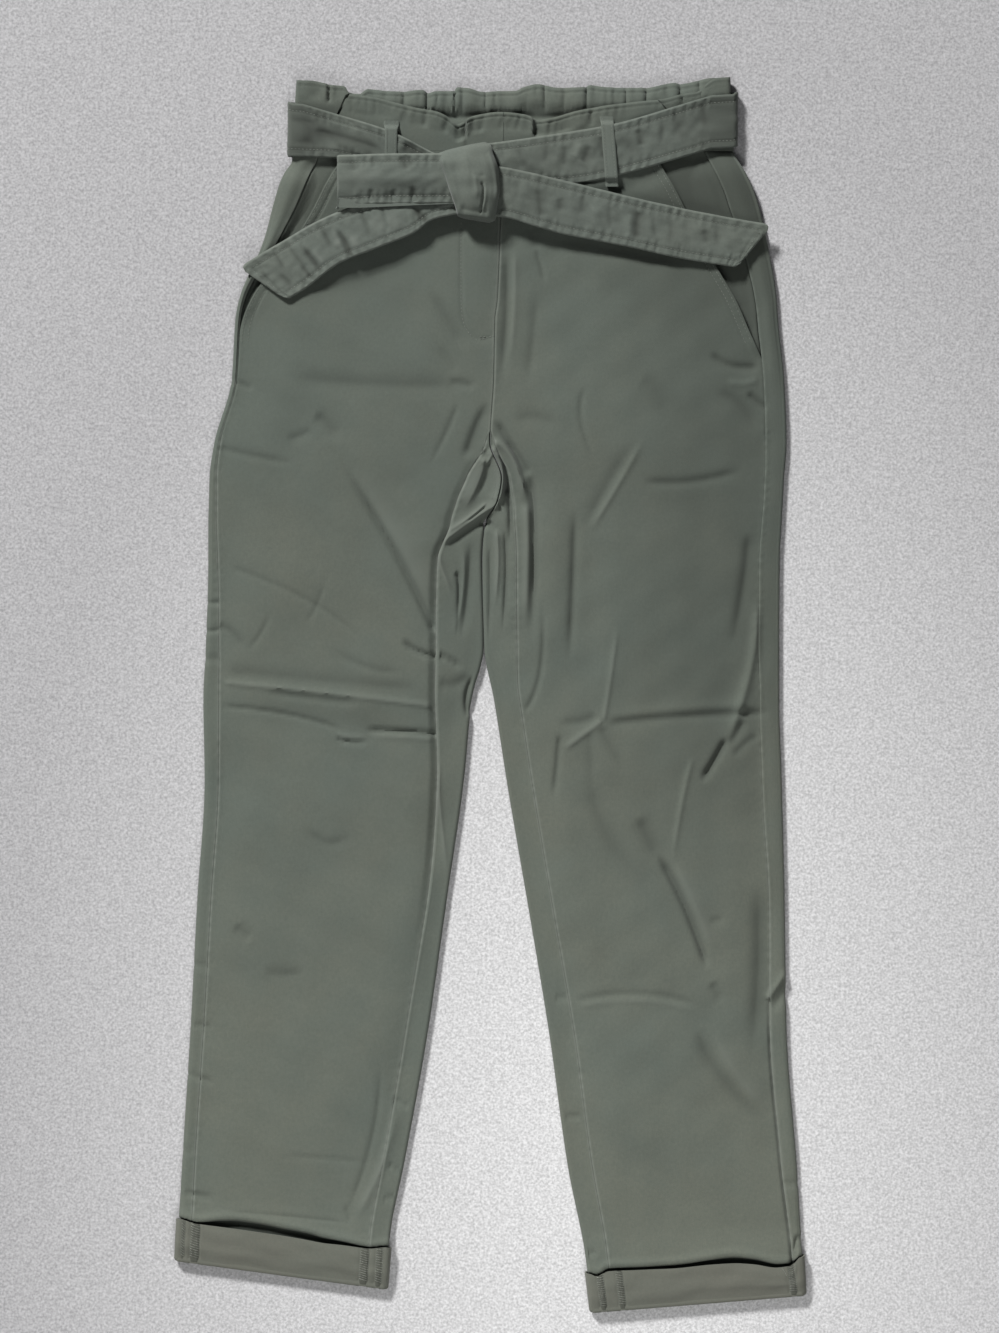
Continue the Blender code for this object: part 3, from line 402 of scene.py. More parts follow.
TENT_CREASES = read_creases("""
# the cloth of the seat, where it stands up between the legs
-2.4 202.2 -16.2 186.8 -26.8 165.6  1.8 1.8  1.3  0.1 0.4  # the rolled edge on the right
-4.9 198.1 -11.4 191.6 -17.1 183.5  1.1 1.1  -0.8  0.2 0.3
-4.9 194.9 -8.9 175.4 -21.9 150.2  3.2 9.7  2.1  0.15 0.25  # the broad face beside it
-4.1 191.6 -2.4 178.6 -13.8 157.5  2.8 3.4  -1.2  0.2 0.3  # the hollow in the middle
3.2 198.1 -0.8 191.6 -3.2 185.9  1.3 1.3  1  0.2 0.3
0.8 203 10.6 180.3 5.7 154.3  2.0 5.3  3.2  0.1 0.12  # the seat seam, standing
8.1 197.3 13.8 179.5 11.4 161.6  1.7 2.2  -3.2  0.15 0.2  # the gap beside it
13 177 16.2 149.4 15.4 116.9  2.1 2.1  -2.8  0.2 0.45  # and the hollow it runs into
7.3 155.1 -8.1 147 -42.2 121.8  2.5 5.0  2.5  0.06 0.08  # the lip: steep below, a slope above
-2.4 157.5 -16.2 145.3 -38.2 130.7  1.1 1.3  1  0.15 0.2
-2.4 154.3 -10.6 147.8 -19.5 140.5  1 1  -1  0.2 0.3
4.1 147.8 -14.6 136.4 -38.2 121  4.5 2.2  -1.2  0.15 0.25  # the shade under the lip
-8.9 142.1 -3.2 139.7 2.4 142.1  2.8 2.8  -2.4  0.2 0.2  # and its deepest place
-42.2 121 -39.8 105.6 -29.2 80.4  2.1 1.3  1.3  0.08 0.3  # the lip turns and runs out downwards
4.9 137.2 6.5 106.4 3.2 68.2  2.1 2.3  2  0.15 0.35  # a roll down the left leg's strip
11.4 134.8 13 98.3 9.7 45.5  1.8 1.8  -2  0.2 0.3
-0.8 122.6 0 86.1 -1.6 37.4  1.8 1.8  -1.2  0.2 0.4
-28.4 100.7 -25.2 86.1 -27.6 43.8  1.6 1.6  -2.1  0.2 0.4
-16.2 128.3 -17.9 86.1 -24.4 43.8  3.7 3.7  -2  0.25 0.3
-21.9 122.6 -21.9 86.1 -30.9 45.5  2.4 2.4  1  0.25 0.3
-41.4 33.3 -32.5 29.2 -21.1 21.9  2.3 2.3  -1.9  0.1 0.3
-43 10.6 -28.4 9.7 -15.4 17.9  4.1 4.1  -1.1  0.2 0.2
-13.8 16.2 -19.5 -0.8 -17.1 -17.9  1.8 1.8  -2.6  0.2 0.2  # where the edge loops out
-42.2 -50.3 -39.8 -96.6 -33.3 -151  1.9 1.9  1  0.2 0.3
""")


DEPTH = 1.25              # the rises in the tables are a little shallow, so each is deepened


def crease_relief(x, y, creases):
    """Height of the creases at each point.

    A crease is the parabola through its three points. The nearest place on it
    gives the distance across and the share along. Its height there is
    rise * ease(in) * ease(out) * exp(-(distance / width)^1.5).
    """
    height = np.zeros(x.shape)
    t = np.linspace(0, 1, 15)[:, None]
    for x0, y0, x1, y1, x2, y2, left, right, rise, fade_in, fade_out in creases:
        start, middle, end = np.array([[x0, y0], [x1, y1], [x2, y2]])
        pull = 2 * middle - 0.5 * (start + end)
        path = (1 - t) ** 2 * start + 2 * t * (1 - t) * pull + t**2 * end
        reach = 2.6 * max(left, right)
        low, high = path.min(axis=0) - reach, path.max(axis=0) + reach
        near = (x > low[0]) & (x < high[0]) & (y > low[1]) & (y < high[1])
        if not near.any():
            continue
        step = np.diff(path, axis=0)
        away = np.stack([x[near], y[near]], axis=1)[:, None] - path[:-1]
        share = np.clip((away * step).sum(axis=2) / (step**2).sum(axis=1), 0, 1)
        away = away - share[..., None] * step
        k = np.argmin((away**2).sum(axis=2), axis=1)
        each = np.arange(len(k))
        along = (k + share[each, k]) / len(step)
        away, step = away[each, k], step[k]
        side = step[:, 0] * away[:, 1] - step[:, 1] * away[:, 0]
        width = np.where(side > 0, left, right)
        ends = ease(along / max(fade_in, 0.01)) * ease((1 - along) / max(fade_out, 0.01))
        height[near] += DEPTH * rise * ends * np.exp(-(np.hypot(away[:, 0], away[:, 1]) / width) ** 1.5)
    return height


print("creases:", len(LEG_CREASES), "on the legs,", len(TENT_CREASES), "on the seat's tent")

# %% [markdown]
# ## From a grid of points to a sheet
# A sheet of cloth is a grid: rows run down the piece and columns across it. The outer face is
# a fine grid. The inner face is never seen, so it may be a coarser grid that takes each third
# point, and a rim of many-cornered faces closes the two. A Solidify modifier does the same
# for pieces whose two faces can be equally fine.


# %% Grids
def grid_quads(rows, columns, ring=False):
    """Corner numbers of a grid's quads. ring joins the last column to the first."""
    i, j = np.meshgrid(np.arange(rows - 1), np.arange(columns if ring else columns - 1), indexing="ij")
    k = (j + 1) % columns
    corners = [i * columns + j, i * columns + k, (i + 1) * columns + k, (i + 1) * columns + j]
    return np.stack(corners, axis=-1).reshape(-1, 4)


def grid_rim(rows, columns):
    """Numbers of the points round the edge of a grid, in order."""
    return np.concatenate([
        np.arange(columns),
        np.arange(1, rows) * columns + columns - 1,
        (rows - 1) * columns + np.arange(columns - 2, -1, -1),
        np.arange(rows - 2, 0, -1) * columns,
    ])


def grid_normals(points, ring=False):
    """Unit normals: the cross product of the step along a row and the step down a column."""
    if ring:
        points = np.concatenate([points[:, -1:], points, points[:, :1]], axis=1)
    normal = np.cross(np.gradient(points, axis=1), np.gradient(points, axis=0))
    normal /= np.maximum(np.linalg.norm(normal, axis=2, keepdims=True), 1e-9)
    return normal[:, 1:-1] if ring else normal


def grid_uv(points):
    """Metres across and down the cloth itself: lengths summed along each row and down the middle."""
    across = np.linalg.norm(np.diff(points, axis=1), axis=2)
    u = np.concatenate([np.zeros((len(points), 1)), np.cumsum(across, axis=1)], axis=1)
    v = run_along(points[:, points.shape[1] // 2])
    u = u - u[:, -1:] / 2
    return np.stack([u, np.broadcast_to(v[:, None], u.shape)], axis=2) * MM


def cloth_area(points):
    """Area in square metres: half the cross product of the two diagonals, over all quads."""
    one = points[1:, 1:] - points[:-1, :-1]
    other = points[1:, :-1] - points[:-1, 1:]
    return 0.5 * np.linalg.norm(np.cross(one, other), axis=2).sum() * MM**2


# %% Meshes
def new_mesh(name, points, faces, uv=None):
    """A mesh of points in millimetres. faces is a list of arrays, each (number, corners)."""
    mesh = bpy.data.meshes.new(name)
    mesh.vertices.add(len(points))
    mesh.vertices.foreach_set("co", (points * MM).astype(np.float32).ravel())
    corners = np.concatenate([f.ravel() for f in faces]).astype(np.int32)
    sizes = np.concatenate([np.full(len(f), f.shape[1]) for f in faces])
    mesh.loops.add(len(corners))
    mesh.loops.foreach_set("vertex_index", corners)
    mesh.polygons.add(len(sizes))
    mesh.polygons.foreach_set("loop_start", np.cumsum(sizes) - sizes)
    mesh.update(calc_edges=True)
    if uv is not None:
        layer = mesh.uv_layers.new(name="cloth")
        layer.uv.foreach_set("vector", uv[corners].astype(np.float32).ravel())
    mesh.validate()
    mesh.shade_smooth()
    mesh.set_sharp_from_angle(angle=np.radians(62))
    return mesh


def mark_wear(mesh, values):
    """Writes each point's value for the twill's finish: up to 1 where it is rubbed pale, and under 0
    where shade is painted darker.
    """
    wear = mesh.attributes.new("wear", "FLOAT", "POINT")
    wear.data.foreach_set("value", values.astype(np.float32).ravel())


def new_piece(name, mesh, finish):
    """An object at the origin that rides on the part's one body."""
    made = bpy.data.objects.new(name, mesh)
    bpy.context.scene.collection.objects.link(made)
    mesh.materials.append(finish)
    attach(made, "root")
    return made


def sheet_mesh(name, outer, wall, flip=False, step=1, wear=None):
    """A closed sheet. step is how many times coarser its inner face is.

    The inner face lies a wall's thickness behind the outer one. Where it is
    coarser it takes the lowest height nearby, so it never comes through.
    """
    normals = grid_normals(outer) * (-1 if flip else 1)
    if step > 1:
        low = outer[..., 2]
        for axis in (0, 1):
            low = np.minimum.reduce([np.roll(low, k, axis) for k in range(-step, step + 1)])
        low[:step], low[-step:] = outer[:step, :, 2], outer[-step:, :, 2]
        low[:, :step], low[:, -step:] = outer[:, :step, 2], outer[:, -step:, 2]
        inner = np.concatenate([outer[..., :2], low[..., None] - wall], axis=2)[::step, ::step]
    else:
        inner = outer - wall * normals
    rows, columns = outer.shape[:2]
    few_rows, few_columns = inner.shape[:2]
    uv = grid_uv(outer)
    first = rows * columns
    outside = grid_quads(rows, columns)
    inside = grid_quads(few_rows, few_columns)[:, ::-1] + first
    rim, few_rim = grid_rim(rows, columns), grid_rim(few_rows, few_columns) + first
    closing = [np.roll(rim, -k)[::step] for k in range(step, -1, -1)]
    closing = np.stack(closing + [few_rim, np.roll(few_rim, -1)], axis=1)
    faces = [outside, inside, closing]
    if flip:
        faces = [f[:, ::-1] for f in faces]
    points = np.concatenate([outer.reshape(-1, 3), inner.reshape(-1, 3)])
    both_uv = np.concatenate([uv.reshape(-1, 2), uv[::step, ::step].reshape(-1, 2)])
    mesh = new_mesh(name, points, faces, both_uv)
    if wear is not None:
        wear_and_shade_points = np.broadcast_to(wear, (rows, columns)).ravel()
        mark_wear(mesh, np.concatenate([wear_and_shade_points, np.zeros(inner[..., 0].size)]))
    return mesh


def sheet_piece(name, outer, wall, finish, **how):
    """A piece that is one closed sheet."""
    return new_piece(name, sheet_mesh(name, outer, wall, **how), finish)


def count_triangles(pieces):
    """Triangles of some pieces, before their modifiers."""
    return sum(len(face.vertices) - 2 for piece in pieces for face in piece.data.polygons)


def sew_up(piece, node, flat):
    """Hides the node of the part that a piece stands for, and prints the piece's size."""
    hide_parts(node)
    points, triangles = len(piece.data.vertices), count_triangles([piece])
    print(f"{piece.name}: {points} points, {triangles} triangles, flat {flat}")


# %% [markdown]
# ## Stitches
# Thread lies in small separate dashes with a dip between them, and at this scale each dash
# is only a lit speck. A long eight-sided bead for each is enough. The rows of stitches follow
# lines on the finished surface, so they rise and fall with its puckers.


# %% Rows of stitches
def sample(grid, i, j):
    """Values of a grid at places between its rows and columns, by shares of the nearest four."""
    rows, columns = grid.shape[:2]
    i, j = np.clip(i, 0, rows - 1.001), np.clip(j, 0, columns - 1.001)
    i0, j0 = i.astype(int), j.astype(int)
    fi, fj = (i - i0)[:, None], (j - j0)[:, None]
    top = grid[i0, j0] * (1 - fj) + grid[i0, j0 + 1] * fj
    return top * (1 - fi) + (grid[i0 + 1, j0] * (1 - fj) + grid[i0 + 1, j0 + 1] * fj) * fi


def on_surface(points, normals, i, j):
    """A line on a piece: its points and its normals at places of its grid."""
    return sample(points, i, j), sample(normals, i, j)


def nearest_on(points, normals, x, y):
    """The surface's points and normals nearest to each (x, y), seen from above."""
    flat, up = points.reshape(-1, 3), normals.reshape(-1, 3)
    found = np.array([np.argmin((flat[:, 0] - a) ** 2 + (flat[:, 1] - b) ** 2) for a, b in zip(x, y)])
    return np.column_stack([x, y, flat[found, 2]]), up[found]


def evenly(line, normals, pitch):
    """Places every pitch millimetres along a line of points: middles, directions and normals."""
    run = run_along(line)
    at = np.arange(0.5 * pitch, run[-1], pitch)
    middle, up = ([np.interp(at, run, values[:, k]) for k in range(3)] for values in (line, normals))
    ahead = [
        np.interp(at + 0.3, run, line[:, k]) - np.interp(at - 0.3, run, line[:, k]) for k in range(3)
    ]
    middle, up, ahead = (np.stack(v, axis=1) for v in (middle, up, ahead))
    return middle, ahead / np.maximum(np.linalg.norm(ahead, axis=1, keepdims=True), 1e-9), up


BEAD = np.array([
    [0, 4, 2], [0, 2, 5], [0, 5, 3], [0, 3, 4], [1, 2, 4], [1, 5, 2], [1, 3, 5], [1, 4, 3],
])


def beads(middle, along, up, length, width):
    """Points and faces of long eight-sided beads lying on the cloth."""
    across = np.cross(up, along)
    corners = np.stack([
        middle - 0.5 * length * along, middle + 0.5 * length * along,
        middle - 0.5 * width * across, middle + 0.5 * width * across,
        middle - 0.3 * width * up, middle + 0.5 * width * up,
    ], axis=1)
    faces = BEAD[None] + 6 * np.arange(len(middle))[:, None, None]
    return corners.reshape(-1, 3), faces.reshape(-1, 3)


FINE_STITCH = 2.6, 1.9, 0.5       # pitch, length and width where stitches are smaller


def sew(name, rows, finish, slot, pitch=3.0, length=2.3, width=0.62):
    """One piece of all the stitches along rows, each a line of points with its normals."""
    places = [evenly(line, normals, pitch) for line, normals in rows]
    middle, along, up = (np.concatenate([p[k] for p in places]) for k in range(3))
    points, faces = beads(middle + 0.08 * up, along, up, length, width)
    made = new_piece(name, new_mesh(name, points, [faces], 0 * points[:, :2]), finish)
    print(f"{name}: {len(middle)} stitches")
    return made

# %% [markdown]
# ## Finishes
# The cloth is a stretch cotton twill: fine diagonal ribs, a dry surface with almost no
# shine, and a colour that wanders a little between grey-green and brown, and turns browner
# towards the hems. The pattern follows the cloth by its own UV map, measured in metres,
# so the ribs keep their size on every piece. Seams are rubbed paler along their ridges.
# Shade is also painted into the colour: darker towards the waist, on the left leg's outer
# half, in the troughs of creases, in the cuff gaps, in the pocket facings and on the band.


# %% Shader arithmetic
class Wire:
    """A socket that can be used in sums: each operator adds the Math node of its name."""

    def __init__(self, graph, socket):
        self.graph, self.socket = graph, socket

    def __add__(self, other):
        return self.graph.maths("ADD", self, other)

    def __sub__(self, other):
        return self.graph.maths("SUBTRACT", self, other)

    def __rsub__(self, other):
        return self.graph.maths("SUBTRACT", other, self)

    def __mul__(self, other):
        return self.graph.maths("MULTIPLY", self, other)

    def __pow__(self, other):
        return self.graph.maths("POWER", self, other)

    __radd__ = __add__
    __rmul__ = __mul__


class Graph:
    """A material whose nodes are added by name."""

    def __init__(self, name):
        self.material = bpy.data.materials.new(name)
        self.material.use_nodes = True
        self.tree = self.material.node_tree
        self.shader = self.tree.nodes["Principled BSDF"]

    def node(self, kind, settings=None, inputs=None, out=0):
        """A node: its settings are set first, then its sockets' values or links."""
        made = self.tree.nodes.new(kind)
        for key, value in (settings or {}).items():
            setattr(made, key, value)
        for key, value in (inputs or {}).items():
            self.put(made.inputs[key], value)
        return Wire(self, made.outputs[out])

    def put(self, socket, value):
        """Links a wire to a socket, or sets the socket to a plain value."""
        if isinstance(value, Wire):
            self.tree.links.new(value.socket, socket)
        else:
            socket.default_value = value

    def split(self, vector):
        """The x, y and z of a vector."""
        split = self.node("ShaderNodeSeparateXYZ", {}, {0: vector}).socket.node
        return [Wire(self, socket) for socket in split.outputs]

    def maths(self, operation, one, other):
        return self.node("ShaderNodeMath", {"operation": operation}, {0: one, 1: other})

    def blend(self, share, one, other):
        """A colour between two, by a share from 0 to 1."""
        return self.node(
            "ShaderNodeMix", {"data_type": "RGBA"}, {0: share, 6: one, 7: other}, out=2
        )

    def noise(self, where, scale, detail=2.0, roughness=0.5):
        values = {"Vector": where, "Scale": scale, "Detail": detail, "Roughness": roughness}
        return self.node("ShaderNodeTexNoise", {}, values)

    def between(self, value, low, high):
        """0 where the value is at low, 1 where it is at high, clamped."""
        values = {0: value, 1: low, 2: high, 3: 0.0, 4: 1.0}
        return self.node("ShaderNodeMapRange", {"clamp": True}, values)


# %% The twill
RIB = 0.00062             # from one diagonal rib to the next, in metres


def twill(name, base, brown, pale, mottle=0.5, upper=0.0, rib_depth=0.00006):
    """A twill in a base colour that drifts to a brown one, and to a pale one where it is worn.

    Where the attribute is under 0 the colour is painted darker, as painted shade. upper is
    how much painted shade darkens it towards the waist.
    """
    g = Graph(name)
    uv = g.node("ShaderNodeUVMap", {"uv_map": "cloth"})
    u, v, _ = g.split(uv)
    where = g.node("ShaderNodeTexCoord", out=3)
    _, north, _ = g.split(where)
    rib = g.maths("SINE", (u * 0.82 + v * 0.57) * (2 * np.pi / RIB), 0.0)
    yarn = g.noise(uv, 1500.0, 2.0)
    stretched = g.node("ShaderNodeMapping", {}, {"Vector": uv, "Scale": (900.0, 120.0, 1.0)})
    slub = g.noise(stretched, 1.0, 2.0)
    cloud = g.noise(where, 6.0, 2.0, 0.5)
    patch = g.noise(where, 26.0, 4.0, 0.65)
    lower = g.between(north, 0.25, -0.45)
    speck = g.noise(where, 420.0, 2.0, 0.7)
    clouds = cloud * 0.62 + patch * 0.38 + lower * 0.16
    drift = g.between(clouds, 0.58 - 0.3 * mottle, 0.58 + 0.3 * mottle)
    colour = g.blend(drift, (*base, 1), (*brown, 1))
    shade = g.between(yarn * 0.3 + speck * 0.5 + slub * 0.2, 0.35, 0.65)
    dark = tuple(0.74 * c for c in base)
    colour = g.blend(shade * 0.42 + (rib * 0.5 + 0.5) * 0.12, colour, (*dark, 1))
    # the attribute: paler where the cloth is rubbed, and painted darker as painted shade where it is
    # under 0
    wear = g.node("ShaderNodeAttribute", {"attribute_name": "wear"}, out=2)
    colour = g.blend(g.between(wear * (0.55 + 0.45 * shade), 0.0, 1.0), colour, (*pale, 1))
    painted_shade_colour = (0.47 * base[0], 0.46 * base[1], 0.45 * base[2], 1)
    colour = g.blend(g.between(wear, 0.0, -1.0), colour, painted_shade_colour)
    # painted shade: darker towards the waist, where the light falls off
    if upper:
        colour = g.blend(g.between(north, -0.36, 0.16) * upper, colour, painted_shade_colour)
    g.put(g.shader.inputs["Base Color"], colour)
    g.put(g.shader.inputs["Roughness"], 0.84 + 0.1 * shade)
    height = rib * rib_depth + (yarn + slub) * 0.00012 + speck * 0.0001
    bump = g.node("ShaderNodeBump", {}, {"Strength": 0.55, "Distance": 1.0, "Height": height})
    g.put(g.shader.inputs["Normal"], bump)
    g.shader.inputs["Sheen Weight"].default_value = 0.12
    g.shader.inputs["Sheen Roughness"].default_value = 0.5
    g.shader.inputs["Specular IOR Level"].default_value = 0.25
    return g.material


GREEN, BROWN, PALE = (0.103, 0.121, 0.102), (0.124, 0.133, 0.106), (0.185, 0.200, 0.175)
body_twill = twill("trouser twill", GREEN, BROWN, PALE, upper=0.20)
belt_twill = twill("belt twill", (0.103, 0.119, 0.102), (0.114, 0.126, 0.104), PALE, 0.4)
wrong_twill = twill("wrong side of the twill", (0.126, 0.136, 0.112), (0.132, 0.132, 0.108), PALE, 0.6)


def thread(name, colour, spread):
    """Sewing thread: a touch smoother and paler than the cloth, its shade varied along the seam."""
    g = Graph(name)
    where = g.node("ShaderNodeTexCoord", out=3)
    shade = g.noise(where, 300.0, 2.0, 0.6)
    dark = tuple(c * (1 - spread) for c in colour)
    g.put(g.shader.inputs["Base Color"], g.blend(g.between(shade, 0.35, 0.65), (*dark, 1), (*colour, 1)))
    g.put(g.shader.inputs["Roughness"], 0.6 + 0.15 * shade)
    g.shader.inputs["Sheen Weight"].default_value = 0.15
    return g.material


seam_thread = thread("seam thread", (0.150, 0.165, 0.140), 0.35)
overlock_thread = thread("overlock thread", (0.27, 0.285, 0.245), 0.55)
print("finishes:", [m.name for m in (body_twill, belt_twill, wrong_twill, seam_thread, overlock_thread)])

# %% [markdown]
# ## The legs
# Each leg is a flattened tube with rounded folds at its two sides, a few millimetres thick.
# Its front panel ends at a seam a little inside each fold, and the back panel comes round
# the folds to meet it, so a narrow strip of the back shows along each side. The upper face
# is one height function of the place on it: loft, large folds, creases, and a slow unevenness.
# Both panels call it, so they meet at their seams without a step.


# %% Places on a leg
BELT_EDGE = table(         # the belt's lower edge across the front
    "x y", (-170, 438), (-152, 437), (-127, 436), (-81, 424), (-43, 411), (-26, 408), (5, 410),
    (69, 415), (102, 421.5), (180, 443.5), (210, 447),
)
SEAM_GAP = 0.04           # seen between two panels at their seam
HEM_CALM = 26.0           # above the cuff, the leg settles into it over this length
LOFT_REACH = 30.0
SEAM_EDGE = np.array([0, 0.4, 0.9, 1.5, 2.2, 3.1])     # closer columns beside a seam


class Leg:
    """One leg's sections at given lengths below the waist seam, and the points of its faces."""

    def __init__(self, sections, side, down):
        column = {name: smooth(down, sections["down"], values) for name, values in sections.items()}
        self.side, self.down = side, down[:, None]
        self.outer = np.column_stack([column["outer_x"], column["outer_y"]])
        self.inner = np.column_stack([column["inner_x"] + side * 0.5 * GAP, column["inner_y"]])
        self.width = np.linalg.norm(self.inner - self.outer, axis=1)[:, None]
        self.across = (self.inner - self.outer) / self.width
        self.side_seam, self.inseam = column["side_seam"][:, None], column["inseam"][:, None]
        self.loft = column["loft"][:, None]
        waist = BELT_LIFT * (1 - ease((self.down - 16) / 42))
        above_cuff = HEM_DOWN - CUFF_HEIGHT - HEM_CALM
        self.lift = waist + CUFF_INSET * ease((self.down - above_cuff) / HEM_CALM)
        self.cuff_edge = CUFF_EDGE["left" if side > 0 else "right"]
        steps = {k: sections[k][-1] - sections[k][-2] for k in sections}
        self.stretch = [
            steps["down"] / np.hypot(steps[f"{k}_x"], steps[f"{k}_y"]) for k in ("outer", "inner")
        ]
        self.inner_fold = FOLD * (0.3 + 0.7 * ease((self.down - 284) / 14))    # sharp at the seat seam

    def plan(self, from_outer):
        """x and y of places this far in from the outer fold."""
        x = self.outer[:, :1] + from_outer * self.across[:, :1]
        y = self.outer[:, 1:] + from_outer * self.across[:, 1:]
        return x, y

    def place(self, from_outer, height):
        return np.stack([*self.plan(from_outer), self.lift + height], axis=2)

    def unevenness(self, x, y):
        """Slow swells of the cloth, and finer ones on them."""
        seed = 20 + self.side
        slow = 0.55 * ripples(x, y, seed, 95) + 0.17 * ripples(x, y, seed + 4, 38)
        return slow + 0.02 * ripples(x, y, seed + 8, 13)

    def inside(self, from_outer, reach):
        """0 at the side folds and 1 farther in than reach. Above the crotch the inner side is open."""
        inner = ease((self.width - from_outer - FOLD) / reach)
        closed = ease((self.down - CROTCH_DOWN + 6) / 90)
        return ease((from_outer - FOLD) / reach) * (1 - closed * (1 - inner))

    def top(self, from_outer, creases):
        """Height of the upper face over the lift.

        It rises from the side folds to its loft over LOFT_REACH, and carries the
        folds and creases. A soft floor keeps it over the under face.
        """
        rise = (self.loft - 2 * FOLD) * self.inside(from_outer, LOFT_REACH)
        height = 2 * FOLD + rise + self.crown(from_outer)
        x, y = self.plan(from_outer)
        relief = fold_relief(x, y) * self.inside(from_outer, 9)
        relief = relief + crease_relief(x, y, creases)
        relief = relief + self.unevenness(x, y) * self.inside(from_outer, 14)
        below = follow(BELT_EDGE, x, "y") - y
        relief = relief * ease((below - 3) / 9) - self.under_belt(x, below)
        dive, lip = self.hem_dive(from_outer)
        relief = relief - 8.0 * dive + 1.3 * lip
        least = 1.9 - 0.6 * dive
        return least + 0.35 * np.logaddexp(0, (height + relief - least) / 0.35)

    def under_belt(self, x, below):
        """At the hips the belt draws the cloth in: a hollow just below its edge."""
        at_hips = ease((abs(x - 15) - 70) / 50)
        return 3.2 * at_hips * bell(below - 7, 8.5) * ease((below + 2) / 5)

    def crown(self, from_outer):
        """Below the hips air stays in the leg: it is highest a little inside its middle."""
        along = ease((self.down - 95) / 150) * (1 - ease((self.down - 770) / 90))
        high, reach = (5.0, 125) if self.side > 0 else (2.0, 60)
        rising = np.sin(0.5 * np.pi * np.clip((from_outer - FOLD) / reach, 0, 1))
        return high * along * rising * self.inside(from_outer, 45)

    def cuff_share(self, from_outer):
        """0 to 1 across the front of the leg, from its right side fold to its left one."""
        share = np.clip((from_outer - FOLD) / (self.width - 2 * FOLD), 0, 1)
        return 1 - share if self.side > 0 else share

    def hem_dive(self, from_outer):
        """The leg goes down into its cuff, 0 to 1, and the swelling just above that place."""
        share = self.cuff_share(from_outer)
        sag, gap = (follow(self.cuff_edge, share, k) for k in ("sag", "gap"))
        to_inner = 1 - share if self.side > 0 else share
        stretch = self.stretch[0] + (self.stretch[1] - self.stretch[0]) * to_inner
        gap = gap * stretch
        edge = HEM_DOWN - (CUFF_HEIGHT - CUFF_TURN - GAP + sag) * stretch
        brink = edge - gap - 0.4
        return ease((self.down - brink) / (0.45 * gap + 0.7)), bell(self.down - brink + 3, 3.4)

    def painted_shade(self, from_outer):
        """Painted shade, as values under 0: on the left leg's outer half, where the light falls off, and
        in the gap where the leg goes down into its cuff.
        """
        x, y = self.plan(from_outer)
        dive, _ = self.hem_dive(from_outer)
        outer_half = (0.42 + 0.4 * ease((y - 270) / 130)) * ease((x - 60) / 120) * ease((y + 210) / 260)
        return -np.minimum(outer_half * (self.side > 0) + 1.6 * dive, 1.0)

    def rubbed_and_crease_shade(self, from_outer, creases):
        """Ridges are rubbed a little paler, and troughs are painted darker, as painted shade: 0.2 per
        millimetre of the creases.
        """
        return 0.2 * np.clip(crease_relief(*self.plan(from_outer), creases), -2.5, 1.4)


def seam_edge(off, down, seed, drop=0.12, reach=0.6):
    """Height beside a seam, off millimetres from it: it rolls down at the edge behind a low ridge."""
    ridge = 0.16 * bell(off - 1.7, 1.0)
    pucker = 0.14 * puckers(down, seed, 8.0) * bell(off - 2.4, 2.4)
    return ridge + pucker - drop * (1 - ease(off / reach))


def seam_wear(off, down, seed, much=0.85):
    """The seam's ridge is rubbed pale, here more and there less."""
    return much * bell(off - 0.6, 0.8) * (0.6 + 0.4 * puckers(down, seed, 9.0))


def across_between(start, end, count):
    """Distances from start to end for each row, closer together beside the two seams."""
    room = np.minimum(1, (end - start) / 9)
    edge = SEAM_EDGE * room
    first, last = start + edge, end - edge[:, ::-1]
    share = np.linspace(0, 1, count - 2 * len(SEAM_EDGE) + 2)[1:-1]
    middle = first[:, -1:] * (1 - share) + last[:, :1] * share
    return np.concatenate([first, middle, last], axis=1)


# %% Fronts
FRONT_ROWS, FRONT_COLUMNS = 463, 136
TUCK_DROP = {              # how far the cloth goes down at the inner and at the side edge
    "right": table("down inner side", (200, 0.5, 0.5), (236, 0.5, 0.5), (262, 1.6, 0.5), (300, 2.6, 0.5),
                   (340, 3.7, 0.5), (540, 3.7, 0.5), (600, 2.2, 0.5), (660, 0.6, 0.5), (913, 0.5, 0.5)),
    "left": table("down inner side", (200, 0.5, 0.5), (236, 0.5, 0.5), (300, 0.8, 0.5), (500, 0.6, 0.5),
                  (640, 0.6, 0.6), (690, 0.6, 1.2), (720, 0.6, 2.2), (880, 0.6, 2.2), (913, 0.5, 1.0)),
}


def pocket_mouth(down, name):
    """How far in from the side seam the pocket mouth lies."""
    return follow(POCKET, down, name)


